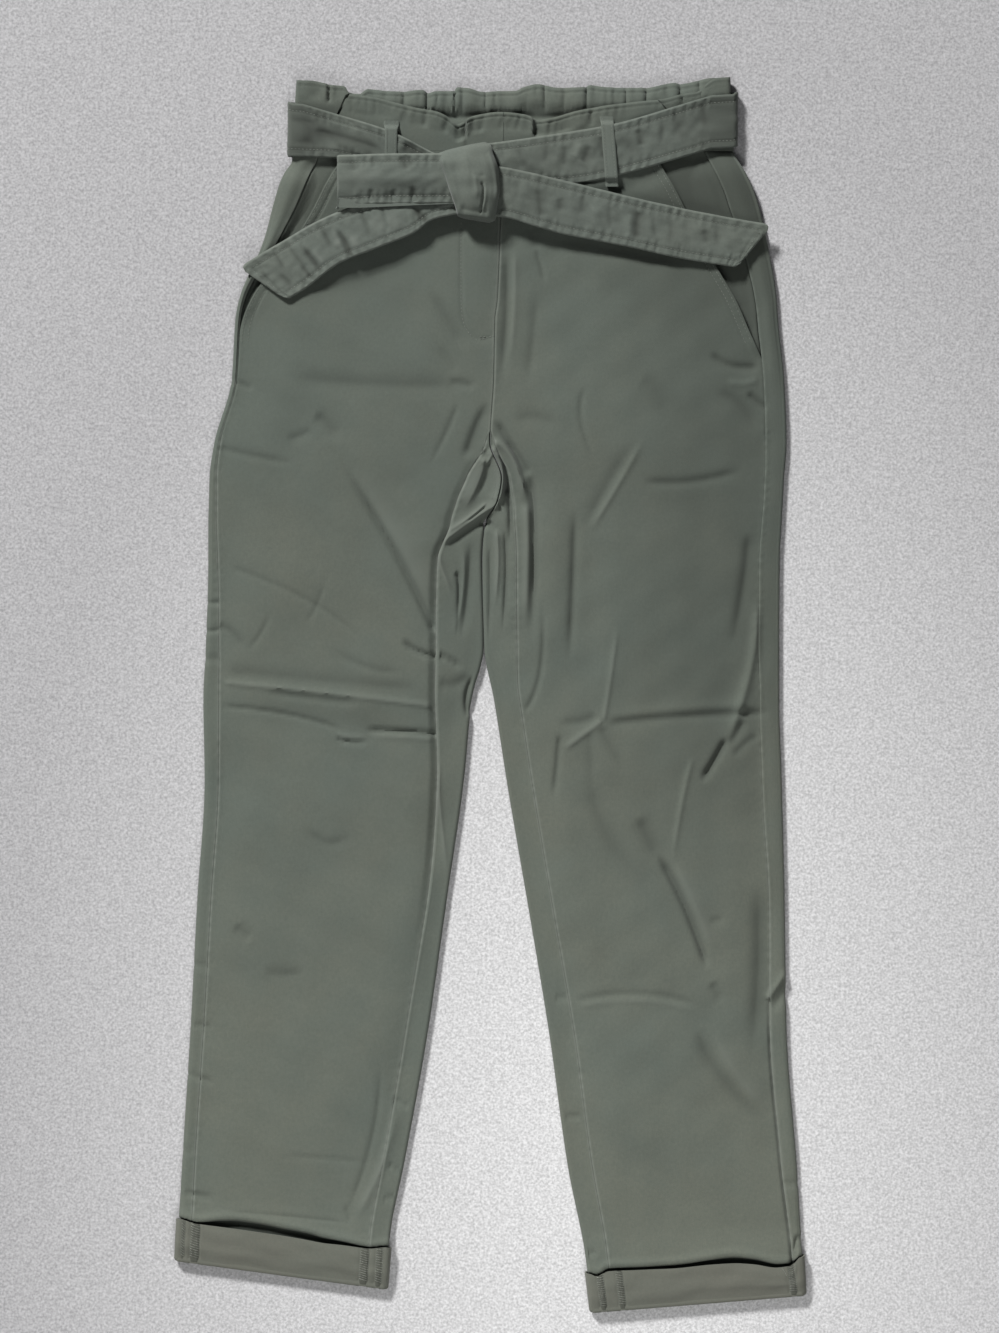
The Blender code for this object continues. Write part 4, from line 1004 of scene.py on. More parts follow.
def front_points(leg, name):
    """The front panel's outer face, from the pocket mouth or the side seam to the inseam."""
    mouth = pocket_mouth(leg.down, name)
    start = leg.side_seam + mouth + 0.5 * SEAM_GAP
    end = leg.width - leg.inseam * ease((leg.down - 226) / 10)
    end = end - 0.5 * SEAM_GAP * ease((leg.down - CROTCH_DOWN) / 3)
    from_outer = across_between(start, end, FRONT_COLUMNS)
    height = leg.top(from_outer, LEG_CREASES)
    seam_in, seam_out = end - from_outer, from_outer - start
    inner_drop, side_drop = (follow(TUCK_DROP[name], leg.down, k) for k in ("inner", "side"))
    x, y = leg.plan(from_outer)
    calm = ease((follow(BELT_EDGE, x, "y") - y + 2) / 6)
    opened = ease(mouth / 4)
    bead = 0.6 * bell(seam_out - 1.6, 2.2) + 0.34 * puckers(leg.down, 51, 5.2) * bell(seam_out - 4.2, 2.2)
    bead = bead - 0.7 * bell(seam_out - 7.4, 1.1) - 0.35 * bell(seam_out - 2.4, 0.7)
    bead = bead + 1.3 * bell(seam_out, 11)
    beside = seam_edge(seam_out, leg.down, 31 + leg.side) * (1 - opened) + bead * opened
    inward = seam_edge(seam_in, leg.down, 41 + leg.side)
    deep = -(inner_drop - 0.5) * (1 - ease(seam_in / 6.5))
    deep = deep - (side_drop - 0.5) * (1 - ease(seam_out / 3.0))
    wear = seam_wear(seam_in, leg.down, 35) + seam_wear(seam_out, leg.down, 37) * (1 + 0.2 * opened)
    wear = np.where(leg.down < CROTCH_DOWN - 6, 0.7 * bell(seam_in - 0.9, 0.6), wear)
    points = leg.place(from_outer, np.maximum(height + (beside + inward + deep) * calm, 1.3))
    return points, wear + leg.painted_shade(from_outer) + leg.rubbed_and_crease_shade(from_outer, LEG_CREASES), seam_out


# %% Backs
CROTCH_TOP = 227.0         # the folds between the legs begin here, under the fronts
SIDE_COLUMNS, TURN_COLUMNS, UNDER_COLUMNS, INNER_COLUMNS = 17, 9, 6, 58


def fold_points(leg, turn, at_outer, relief):
    """A side fold: a half circle from the upper face, turn 0, to the under face, turn 1.

    A dent that runs into the fold flattens it and draws it in.
    """
    dent = relief * 0.5 * (1 + np.cos(np.pi * turn))
    radius = FOLD if at_outer else leg.inner_fold
    reach = radius * (1 - np.sin(np.pi * turn)) - 0.35 * np.minimum(relief, 0) * np.sin(np.pi * turn)
    from_outer = reach if at_outer else leg.width - reach
    return leg.place(from_outer, FOLD * (1 + np.cos(np.pi * turn)) + dent)


def back_points(leg, name):
    """From the side seam over the outer fold, under the leg, and up to the inseam."""
    inner_drop, side_drop = (follow(TUCK_DROP[name], leg.down, k) for k in ("inner", "side"))
    seam = leg.side_seam - 0.5 * SEAM_GAP
    share = np.concatenate([SEAM_EDGE[:5] / 9, np.linspace(2.9 / 9, 1, SIDE_COLUMNS - 4)[:-1]])
    strip = seam + (FOLD - seam) * share
    height = leg.top(strip, LEG_CREASES) + seam_edge(seam - strip, leg.down, 31 + leg.side)
    height = height - (side_drop - 0.5) * (1 - ease((seam - strip) / 2.4))
    at_hip = ease((leg.down - 2) / 8) * (1 - ease((leg.down - 150) / 60))
    roll = (0.4 + 1.7 * at_hip) * bell(strip - 0.5 * seam, 0.34 * seam) * ease((leg.down + 2) / 10)
    at_fold = leg.top(FOLD + 0 * seam, LEG_CREASES)
    turn = np.linspace(0, 1, TURN_COLUMNS)[None]
    fold = leg.inner_fold
    far = leg.width - fold * ease((leg.down - CROTCH_TOP) / 2)
    under = FOLD + (far - FOLD) * np.linspace(0, 1, UNDER_COLUMNS + 1)[None, 1:]
    inner_seam = np.maximum(leg.inseam - 0.5 * SEAM_GAP, fold + 2 * GAP)
    share = np.concatenate([np.linspace(0, 1, INNER_COLUMNS - 4)[1:], 1 + 0 * SEAM_EDGE[:4]])
    tail = -SEAM_EDGE[:4][::-1] * np.minimum(1, (inner_seam - fold) / 8)
    in_strip = fold + (inner_seam - SEAM_EDGE[3] * np.minimum(1, (inner_seam - fold) / 8) - fold) * share
    in_strip = np.concatenate([in_strip[:, :-4], inner_seam + tail], axis=1)
    in_strip = leg.width - in_strip
    lower = ease((-120 - leg.plan(in_strip)[1]) / 60)
    height_in = leg.top(in_strip, TENT_CREASES) + lower * crease_relief(*leg.plan(in_strip), LEG_CREASES)
    off = in_strip - (leg.width - inner_seam)
    height_in = height_in + seam_edge(off, leg.down, 41 + leg.side)
    height_in = height_in - (inner_drop - 0.5) * (1 - ease(off / 2.6))
    height_in = height_in - 0.5 * (1 - ease((leg.down - 232) / 8))
    inner_at_fold = leg.top(leg.width - fold, TENT_CREASES)
    columns = strip.shape[1] + 2 * TURN_COLUMNS - 1 + UNDER_COLUMNS + in_strip.shape[1]
    wear = np.zeros((len(leg.down), columns))
    wear[:, :strip.shape[1]] = seam_wear(seam - strip, leg.down, 37) + leg.painted_shade(strip)
    wear[:, -in_strip.shape[1]:] = (
        seam_wear(off, leg.down, 35) + leg.painted_shade(in_strip) + leg.rubbed_and_crease_shade(in_strip, TENT_CREASES)
    )
    seat = leg.width - in_strip
    return np.concatenate([
        leg.place(strip, np.maximum(height + roll, 1.5)),
        fold_points(leg, turn, True, at_fold - 2 * FOLD),
        leg.place(under, 0.05 * (1 + ripples(*leg.plan(under), 60, 40)) * ease((leg.down - 30) / 20)),
        fold_points(leg, turn[:, ::-1][:, 1:], False, inner_at_fold - 2 * FOLD),
        leg.place(in_strip, np.maximum(height_in, 1.5)),
    ], axis=1), wear, seat


def back_mesh(name, points, wear, crotch_row, flip):
    """The back's outer face. Above the crotch its rows stop at the centre seam."""
    rows, columns = points.shape[:2]
    quads = grid_quads(rows, columns).reshape(rows - 1, columns - 1, 4)
    kept = np.ones((rows - 1, columns - 1), bool)
    kept[:crotch_row, SIDE_COLUMNS + TURN_COLUMNS + UNDER_COLUMNS - 1:] = False
    quads = quads[kept][:, ::-1] if flip else quads[kept]
    used, numbers = np.unique(quads, return_inverse=True)
    uv = grid_uv(points).reshape(-1, 2)[used]
    mesh = new_mesh(name, points.reshape(-1, 3)[used], [numbers.reshape(quads.shape)], uv)
    mark_wear(mesh, wear.ravel()[used])
    return mesh


FLY_STITCH = np.array([    # the fly's J: down beside the centre seam, then round to it
    (-23.5, 385), (-23.6, 370), (-23.6, 345), (-23.4, 318), (-21.5, 303), (-16.5, 294),
    (-9, 289), (3, 292.5),
])


def front_lines(name, points, normals, seam_out):
    """Stitch lines on a front: two beside the pocket mouth, and on the right one the fly's J."""
    rows = np.arange(4, int(np.searchsorted(front_down, 158)))
    lines = []
    for off in (2.4, 7.4):
        j = np.array([np.interp(off, seam_out[i], np.arange(seam_out.shape[1])) for i in rows])
        lines.append(on_surface(points, normals, rows.astype(float), j))
    if name == "right":
        at = np.linspace(0, len(FLY_STITCH) - 1, 140)
        x, y = (smooth(at, np.arange(len(FLY_STITCH)), FLY_STITCH[:, k]) for k in (0, 1))
        lines.append(nearest_on(points, normals, x, y))
        for up in (0, 0.8, 1.6):
            x = np.linspace(-9, -3, 12)
            lines.append(nearest_on(points, normals, x, 290 + 0 * x + up))
    return lines


def seat_lines(points, normals, seat):
    """The seat seam's two rows of stitches, as far as the tent shows them."""
    rows = np.arange(int(np.searchsorted(back_down, 239)), int(np.searchsorted(back_down, 283)))
    first = points.shape[1] - seat.shape[1]
    lines = []
    for off in (1.6, 4.6):
        j = np.array([first + np.interp(off, seat[i], np.arange(seat.shape[1])) for i in rows])
        lines.append(on_surface(points, normals, rows.astype(float), j))
    return lines


def solidify(piece, wall):
    """Gives an open sheet its thickness, inwards."""
    made = piece.modifiers.new("wall", "SOLIDIFY")
    made.thickness, made.offset, made.use_rim = wall * MM, -1, True


front_down = np.concatenate([np.linspace(0, 862, FRONT_ROWS - 48), np.linspace(862.8, 896, 42),
                             np.linspace(898, HEM_DOWN, 6)])
back_down = np.concatenate([
    np.linspace(0, 222, 68), np.linspace(225, CROTCH_DOWN, 14)[:-1],
    np.linspace(CROTCH_DOWN, 302, 100), np.linspace(303.2, 400, 72), np.linspace(402.5, 862, 176),
    np.linspace(863, 896, 32), np.linspace(899, HEM_DOWN, 6),
])
crotch_row = int(np.searchsorted(back_down, CROTCH_TOP))
for name, sections, side in LEGS:
    points, wear, seam_out = front_points(Leg(sections, side, front_down), name)
    normals = grid_normals(points) * side
    normals = normals * np.sign(normals[60, 60, 2])
    piece = sheet_piece(f"cloth_front_{name}", points, PANEL_WALL, body_twill,
                        flip=side < 0, step=3, wear=wear)
    lines = front_lines(name, points, normals, seam_out)
    stitches = sew(f"stitches_front_{name}", lines, seam_thread, "twill")
    area = round(cloth_area(points) * 1.06, 3)
    sew_up(piece, f"front_{name}", (0.27, 0.95))

    points, wear, seat = back_points(Leg(sections, side, back_down), name)
    normals = grid_normals(points) * side
    normals = normals * np.sign(normals[300, 4, 2])
    mesh = back_mesh(f"cloth_back_{name}", points, wear, crotch_row, side > 0)
    piece = new_piece(f"cloth_back_{name}", mesh, body_twill)
    solidify(piece, PANEL_WALL)
    sewn = []
    if name == "right":
        lines = seat_lines(points, normals, seat)
        sewn = [sew("stitches_seat", lines, seam_thread, "twill", *FINE_STITCH)]
    area = round(cloth_area(points) * 1.04, 3)
    sew_up(piece, f"back_{name}", (0.34, 0.98))

# %% [markdown]
# ## Pocket facings
# A slanted pocket leaves a wedge open between its mouth and the side seam. What shows there
# is the pocket's facing, a separate piece that is sewn into the side seam and lies behind the
# front. It is the leg's own surface again, let down under the mouth so that the edge casts a
# shadow on it.

# %% Facings
FACING_BEHIND = 16.0      # how far it runs on behind the front
FACING_WALL = 0.8


def facing_points(leg, name, columns=30):
    """The facing: at the side seam's own height first, then behind the front's wall."""
    mouth = pocket_mouth(leg.down, name)
    share = np.linspace(0, 1, columns)[None]
    along = share * (mouth + FACING_BEHIND)
    line = leg.side_seam + GAP + along
    at_seam = 1 - ease((mouth - 5) / 9)
    behind = at_seam + (1 - at_seam) * ease(along / (0.75 * mouth))
    deep = 2.0 + 2.6 * ease((mouth - 3) / 8)
    height = leg.top(line, LEG_CREASES) - deep * behind
    height = height - 0.5 * (1 - ease(along / 0.9)) - 1.2 * (1 - at_seam) * bell(along - 4, 4)
    return leg.place(line, np.maximum(height, 1.4))


facing_down = front_down[pocket_mouth(front_down, "left") > GAP]
for name, sections, side in LEGS:
    down = facing_down[pocket_mouth(facing_down, name) > GAP]
    points = facing_points(Leg(sections, side, down), name)
    # painted shade: the facings are painted darker, the left one most, for the shadow under the pocket
    # mouth and the belt
    piece = sheet_piece(f"cloth_pocket_facing_{name}", points, FACING_WALL, body_twill,
                        flip=side < 0, wear=-0.9 if side > 0 else -0.35)
    area = round(cloth_area(points) * 1.1, 4)
    sew_up(piece, f"pocket_facing_{name}", (0.07, 0.18))

# %% [markdown]
# ## The paperbag band
# Over the waist seam the trousers go on as a band. An elastic in its back draws it in, and the
# cloth above the elastic opens as a ruffle. The front is flat, with a box pleat in the middle
# between two tucks. The back's two ends come round the side folds, so the band is made like
# the legs, out of rows, with the ruffle's waves added above the casing.

# %% Shapes of the band
BAND_TOP = 488.0
CENTRE_X = 11.0
BAND_HEIGHT = 2 * FOLD
FRONT_EDGE = table(
    "x y",
    (-139, 490), (-115.3, 488), (-95, 485.6), (-75.5, 480.7), (-58.5, 476.6), (-44.7, 474.2),
    (-34.9, 470.1), (-30, 466.1), (-27, 463.9), (-22, 465.5), (-18.7, 467.7), (-13.8, 470.3),
    (8.1, 473.4), (26.8, 471.8), (32.5, 470.1), (36, 467.6), (42.2, 467.7), (69.8, 474.2),
    (97.4, 479.1), (134.8, 483.1), (178, 485),
)
BACK_EDGE = table(
    "x y",
    (-157, 499), (-113, 489), (-105.6, 488), (-99, 492), (-84, 490.4), (-70.6, 490), (-55, 491.3),
    (-50, 488.8), (-43, 490.4), (-28.4, 490.4), (-26.8, 493.6), (-18.7, 492.9), (-8, 490),
    (-2.4, 489.6), (8, 490.4), (21, 490.4), (27.6, 493.6), (39, 496), (55, 493), (78, 493.7),
    (81, 495.3), (92.6, 493.7), (109, 493), (126.7, 493), (149.4, 497), (154, 496.2), (180, 501),
    (195, 502),
)
WRAP_EDGE = table(
    "x y", (-157, 499.5), (-144, 499), (-132, 496.3), (-129, 495.6), (-118, 494.6),
    (-114, 489), (136, 484),
    (155, 488), (170, 491), (176, 497), (183, 501), (195, 502),
)
BAND_OUTER = table("y right left", (WAIST_Y, -160, 198), (470, -158.5, 196), (490, -157, 195))
BAND_SEAM = table("y right left", (WAIST_Y, -138, 174), (470, -123, 150), (BAND_TOP, -114, 136))
BAND_TILT = 1.6           # the header's edge stands this much above the casing
RUFFLE_SHOWN = 16.0       # how far below its top edge the band has its own relief
FRONT_DENTS = (
    (-70, 0.8, 3), (-52, 0.9, 2.2), (-34, 1.6, 3), (-5, 0.6, 2), (24, 0.6, 2), (52, 1.0, 4), (82, 0.8, 3),
)
TUCKS = ((-19.5, 3.4), (35.5, 3.4))       # where the pleat's two edges are, and how deep beside them


def band_seam(name, share):
    """x of a side seam of the band at a share of its height."""
    return follow(BAND_SEAM, WAIST_Y + share * (BAND_TOP - WAIST_Y), name)


BACK_TUCKS = (            # x, depth, width: where the ruffle folds in
    (-129.5, 3.0, 1.6), (-112, 1.5, 2.0), (-70.5, 1.6, 1.5), (-51, 2.2, 1.6),
    (-43, 1.2, 1.4), (-28.5, 2.6, 1.3),
    (-22, 0.8, 1.5), (-3.5, 1.6, 1.2), (4, 0.9, 1.4), (44.6, 1.5, 1.6), (60, 1.0, 1.8), (78, 2.4, 1.4),
    (95, 0.9, 2.0), (110.5, 1.6, 1.5), (126.6, 1.8, 1.6), (154.5, 2.0, 1.5), (170, 1.6, 1.6),
)


def tuck_relief(x, share, tucks):
    """Vertical folds of a ruffle: a bell across each, deepening from the casing up to the edge."""
    return -sum(
        d * bell(x - at - 1.2 * (share - 0.7) * (i % 3 - 1), w) for i, (at, d, w) in enumerate(tucks)
    )


def casing(x, y, edge_y, seed):
    """Height of the band's own details: the folded top edge, its stitch line and the gathers below."""
    off = edge_y - y
    top = -0.75 * rolled(off, 1.4) + 0.25 * bell(off - 2.0, 1.3)
    line = -0.5 * bell(off - 3.4, 0.7) + 0.4 * puckers(x, seed, 6.5) * bell(off - 4.4, 2.4)
    return top + line


def band_front_points(side, columns=104, rows=40):
    """Front band between the centre front and a side seam."""
    share = np.linspace(0, 1, rows)[:, None]
    centre = CENTRE_X + side * 0.5 * GAP
    seam = band_seam("left" if side > 0 else "right", share) - side * 0.5 * GAP
    x = centre + (seam - centre) * np.linspace(0, 1, columns)[None, ::side]
    top = follow(FRONT_EDGE, x, "y")
    y = WAIST_Y + 0.5 * GAP + share * (top - WAIST_Y)
    within = RUFFLE_SHOWN - (top - y)
    shown = ease(within) * ease(within / 5)
    z = BELT_LIFT + BAND_HEIGHT + 0 * x
    for tuck, depth in TUCKS:
        outward = (x - tuck) * np.sign(tuck - CENTRE_X)
        z = z - depth * ease(outward / 1.4 + 0.5) * (1 - ease((outward - 1.6) / 16)) * shown
        z = z + 0.9 * bell(outward + 1.6, 1.8) * shown
    z = z + shown * BAND_TILT * ease((share - 0.55) / 0.45)
    inward = 0.35 * np.minimum(ripples(x, 0.25 * y, 73, 9) + 0.4, 0)
    z = z + shown * (casing(x, y, top, 71) + 0.5 * ripples(x, 0.3 * y, 72, 24) + inward)
    for x_, depth, width in FRONT_DENTS:
        z = z - shown * depth * bell(x - x_ - 0.25 * (y - 468), width)
    return np.stack([x, y, z], axis=2)


def band_back_points(columns=232, turns=9, strip=30, rows=44):
    """The gathered back band: over the right side fold, behind, and over the left one."""
    share = np.linspace(0, 1, rows)[:, None]
    level = WAIST_Y + share * (BAND_TOP - WAIST_Y)
    right, left = (follow(BAND_OUTER, level, name) for name in ("right", "left"))
    lift = BELT_LIFT - 0.8 * ease((share - 0.84) / 0.16)
    turn = np.linspace(0, 1, turns)[None]
    fold_x = FOLD * (1 - np.sin(np.pi * turn))
    fold_z = FOLD * (1 + np.cos(np.pi * turn)) + BELT_LIFT + (lift - BELT_LIFT) * turn
    seam_right, seam_left = band_seam("right", share) - 0.5 * GAP, band_seam("left", share) + 0.5 * GAP
    part = np.linspace(0, 1, strip)[None]
    over_right = seam_right + (right + FOLD - seam_right) * part[:, :-1]
    over_left = left - FOLD + (seam_left - left + FOLD) * part[:, 1:]
    behind = right + FOLD + (left - right - 2 * FOLD) * np.linspace(0, 1, columns + 1)[None, 1:-1]
    over_z = np.full((rows, strip - 1), BELT_LIFT + BAND_HEIGHT)
    x = np.concatenate([over_right, right + fold_x, behind, left - fold_x[:, ::-1], over_left], axis=1)
    z = np.concatenate([over_z, fold_z, lift + 0 * behind, fold_z[:, ::-1], over_z], axis=1)
    calm = np.zeros((rows, strip - 1 + turns))
    inward = np.minimum(behind - right, left - behind) - FOLD
    ripple = np.concatenate([calm, ease(inward / 14), calm], axis=1)
    top = np.where(ripple > 0, follow(BACK_EDGE, x, "y"), follow(WRAP_EDGE, x, "y"))
    y = WAIST_Y + 0.5 * GAP + share * (top - WAIST_Y)
    swell = 0.5 + 0.5 * puckers(x, 81, 17)
    header = ripple * ease((share - 0.55) / 0.25)
    gather = 1.5 * puckers(x, 83, 3.6) * bell(y - 475 - 1.2 * np.sin(x / 9), 2.6)
    folds = 0.55 * np.minimum(ripples(x, 0.15 * y, 84, 8) + 0.5, 0)
    z = z + header * (2.9 + 1.6 * swell + 1.1 * tuck_relief(x, share, BACK_TUCKS) + gather + folds)
    z = z + ripple * casing(x, y, top, 87) * ease((share - 0.7) / 0.1) - ripple * 1.6 * bell(y - 470, 3.5)
    flat, falling = np.ones(over_z.shape), 1 - ease(1.6 * turn) + np.zeros(fold_z.shape)
    over = np.concatenate([flat, falling, 0 * behind, falling[:, ::-1], flat], axis=1)
    shown = over * ease((y - (top - RUFFLE_SHOWN)) / 5)
    z = z + shown * (casing(x, y, top, 85) + 0.5 * ripples(x, 0.3 * y, 86, 15))
    z = z - shown * (2.6 * bell(x + 130.5, 1.3) - 0.8 * bell(x + 134, 2.5) + 1.6 * bell(x - 156.7, 1.5))
    return np.stack([x, y, z], axis=2)


# %% The band's three pieces
for name, side in (("right", -1), ("left", 1)):
    points = band_front_points(side)
    outward = [(points[..., 0] - at) * np.sign(at - CENTRE_X) for at, depth in TUCKS]
    # painted shade: a little darker all over, as the light falls off at the waist, and darker still in
    # the tucks
    wear = -0.1 - 0.7 * sum(bell(off - 0.8, 1.3) for off in outward)     # dark in the tucks
    piece = sheet_piece(f"band_front_{name}", points, PANEL_WALL, body_twill, wear=wear)
    area = round(cloth_area(points) * 1.06, 4)
    sew_up(piece, f"waist_front_{name}", (0.16, 0.06))
points = band_back_points()
# painted shade: darker all over, as the light falls off at the waist, and most down inside the ruffle
wear = -0.25 - 0.6 * bell(points[..., 1] - 475, 5)        # dark down inside the ruffle
piece = sheet_piece("band_back", points, PANEL_WALL, body_twill, flip=True, wear=wear)
area = round(cloth_area(points) * 1.1, 4)
sew_up(piece, "waist_back", (0.52, 0.065))

# %% [markdown]
# ## The belt
# The sash is a long strip of the same twill, doubled, turned at its edges and stitched a few
# millimetres in from them. It goes round the waist through the loops and is tied in a single
# bow. Each stretch that can be seen is a ribbon between two edges that a table gives. At the
# sides it turns round the trousers and runs on behind them. Its turned edge stands up as a
# narrow bead, the stitch line sinks in, and the thread draws puckers between the two.

# %% Tables of the belt
STRETCH = "upper_x upper_y lower_x lower_y height"
RIGHT_RUN = table(
    STRETCH,
    (-28, 434, -26, 408, 14.0), (-43, 439, -43, 411, 13.2), (-81, 458, -81, 424, 11.5),
    (-127, 472.5, -127, 436, 11.4), (-152, 480, -152, 437, 11.4),
)
LEFT_RUN = table(
    STRETCH,
    (-8, 447, -8, 410, 14.0), (5, 448.5, 5, 411, 13.2), (69, 458, 69, 415, 11.6),
    (102, 464, 102, 421.5, 11.5), (180, 487, 180, 443.5, 11.4),
)
BOW_LOOP = table(
    STRETCH,
    (-24, 438, -24, 398, 26.2), (-60, 438, -60, 398, 25.8), (-90, 438, -90, 398, 23.8),
    (-112, 437.5, -112, 397, 21.5),
)
RIGHT_TAIL = table(
    STRETCH,
    (-24, 415, -22, 391, 16.5), (-53, 415, -47, 385, 17.0), (-73, 406, -61, 375, 16.5),
    (-110, 397, -93, 362, 14.5), (-140, 385, -121, 351, 12.2), (-170, 368, -150, 330, 10.2),
    (-204, 348, -165, 321, 9.6),
)
LEFT_TAIL = table(
    STRETCH,
    (-4, 430, -6, 389, 19.5), (16, 427, 12, 387, 19.0), (66, 416, 56, 374.5, 16.0),
    (120, 403, 110, 364, 14.4), (162, 394, 154, 354.5, 12.8), (199, 387, 188, 349, 12.4),
    (229, 382, 200, 347, 13.0),
)
# where a strip turns under: x of the fold, y of its two edges there, x where it ends beneath
RUN_FOLD = {"right": (-164.4, 482.5, 438, -135), "left": (201.2, 490.5, 446, 172)}
BOW_FOLD = (-123.5, 437, 395, -105)
BOW_LOW = 15.2
BOW_DROOP = 5.8           # the loop's lower edge hangs this far below its upper one
BOW_BENEATH = table(
    STRETCH, (-80, 437, -80, 396, 16.6), (-55, 437, -55, 397, 18.0), (-24, 436, -24, 398, 18.6),
)
BELT_BACK = table("x lower upper", (-134.5, 440, 481), (18, 436, 476), (171.5, 446, 487))
BELT_CROWN = 0.5
BELT_WALL = 1.9
BELT_WIDTH = 42.0
BELT_FLAT = BELT_WIDTH * MM
BELT_COLUMNS = 37
TURN_ROWS = 13            # round the half circle where a strip turns under
STITCH_IN = 6.2           # the stitch line lies this far in from the belt's edges


def ribbon(stretch, rows, columns, crown=BELT_CROWN, corner=0.0):
    """A strip between its two edges, a little higher along its middle: crown * sin(pi share).

    corner rounds the last row's corners.
    """
    index = np.arange(len(stretch["height"]), dtype=float)
    at = np.linspace(0, index[-1], 400)
    row = {k: smooth(at, index, v) for k, v in stretch.items()}
    middle = np.stack([row["upper_x"] + row["lower_x"], row["upper_y"] + row["lower_y"]]) / 2
    run = np.concatenate([[0], np.cumsum(np.hypot(*np.diff(middle)))])
    even = np.linspace(0, run[-1], rows)
    row = {k: np.interp(even, run, v)[:, None] for k, v in row.items()}
    share = np.linspace(0, 1, columns)[None, :]
    to_end = np.clip(1 - (run[-1] - even) / max(corner, 1e-6), 0, 1)[:, None]
    cut = corner * (1 - np.sqrt(1 - to_end**2)) / BELT_WIDTH
    share = cut + (1 - 2 * cut) * share
    x = row["upper_x"] * (1 - share) + row["lower_x"] * share
    y = row["upper_y"] * (1 - share) + row["lower_y"] * share
    return np.stack([x, y, row["height"] + crown * np.sin(np.pi * share)], axis=2)


def turned_under(last, fold, low, beneath):
    """Rows that take a strip round a half circle at its fold and back beneath itself."""
    fold_x, upper_y, lower_y, inner_x = fold
    radius = 0.5 * (last[:, 2].mean() - low)
    outward = np.sign(fold_x - inner_x)
    centre_x = fold_x - outward * radius
    y = np.linspace(upper_y, lower_y, len(last))[None]
    turn = np.linspace(0, 1, TURN_ROWS)[1:, None]
    x = centre_x + outward * radius * np.sin(np.pi * turn) + 0 * y
    z = low + 0.5 * (last[:, 2][None] - low) * (1 + np.cos(np.pi * turn))
    outwards = np.where(turn < 0.5, np.sin(np.pi * turn), 1)
    round_it = np.stack([x, last[:, 1] + (y - last[:, 1]) * outwards, z], axis=2)
    back = np.linspace(centre_x, inner_x, beneath)[1:, None]
    under = np.stack([back + 0 * y, y + 0 * back, low + 0 * back * y], axis=2)
    return np.concatenate([round_it, under])


def stitched_edge(off, along, seed):
    """Height beside the belt's turned edge: rounded off, a bead, the sunk stitch line, puckers."""
    rounded = -0.85 * rolled(off, 1.3)
    bead = 0.40 * bell(off - 1.5, 0.9)
    sunk = -0.55 * bell(off - STITCH_IN, 0.9)
    pucker = puckers(along, seed, 7.5) + 0.45 * puckers(along, seed + 3, 3.7)
    return rounded + bead + sunk + pucker * (0.80 * bell(off - 3.7, 1.9) + 0.42 * bell(off - 8.8, 2.4))


def finish_strip(points, seed, shown, creases=(), end=False, painted_shade=np.zeros_like, soft=0.30):
    """Puts a belt stretch's own relief on it, along its normals.

    shown is 1 on rows that face up and 0 where the strip has turned beneath.
    end says that the strip's last row is sewn across as well. The function passed after end
    gives how much darker the cloth is painted at each x, as painted shade.
    """
    normals = grid_normals(points)
    normals = normals * np.sign(normals[0, 0, 2])
    run = run_along(points[:, points.shape[1] // 2])[:, None]
    width = np.linalg.norm(points[:, -1] - points[:, 0], axis=1)[:, None]
    share = np.linspace(0, 1, points.shape[1])[None]
    upper, lower = share * width, (1 - share) * width
    half = stitched_edge(upper, run, seed), stitched_edge(lower, run, seed + 7)
    relief = np.where(upper < lower, half[0], half[1])
    if end:
        slant = np.linalg.norm(points[-1][None] - points, axis=2)
        near_end = stitched_edge(slant, share * width, seed + 9)
        relief = np.where(slant < np.minimum(upper, lower), near_end, relief)
    x, y = points[..., 0], points[..., 1]
    slack = bell(share - 0.5, 0.34)
    relief = relief + soft * ripples(x, y, seed + 2, 30) + 0.20 * slack * ripples(x, y, seed + 3, 12, 14)
    creased = crease_relief(x, y, creases)
    relief = relief + creased
    edge = np.minimum(upper, lower) if not end else np.minimum(np.minimum(upper, lower), slant)
    rub = 0.5 + 0.5 * puckers(run + 0 * share, seed + 5, 9)
    wear = 0.85 * bell(edge - 0.6, 0.8) * (0.6 + 0.4 * rub)
    wear = wear + 0.7 * bell(edge - 3.6, 2.0) * (rub - 0.55) - painted_shade(x)
    # the creases' ridges are rubbed paler; their troughs and the sunk stitch line are painted darker, as
    # painted shade
    wear = wear + 0.5 * np.clip(creased, -1.8, 0.8) - 0.45 * bell(edge - STITCH_IN, 0.9)
    return points + normals * (relief * shown)[..., None], normals, wear * shown


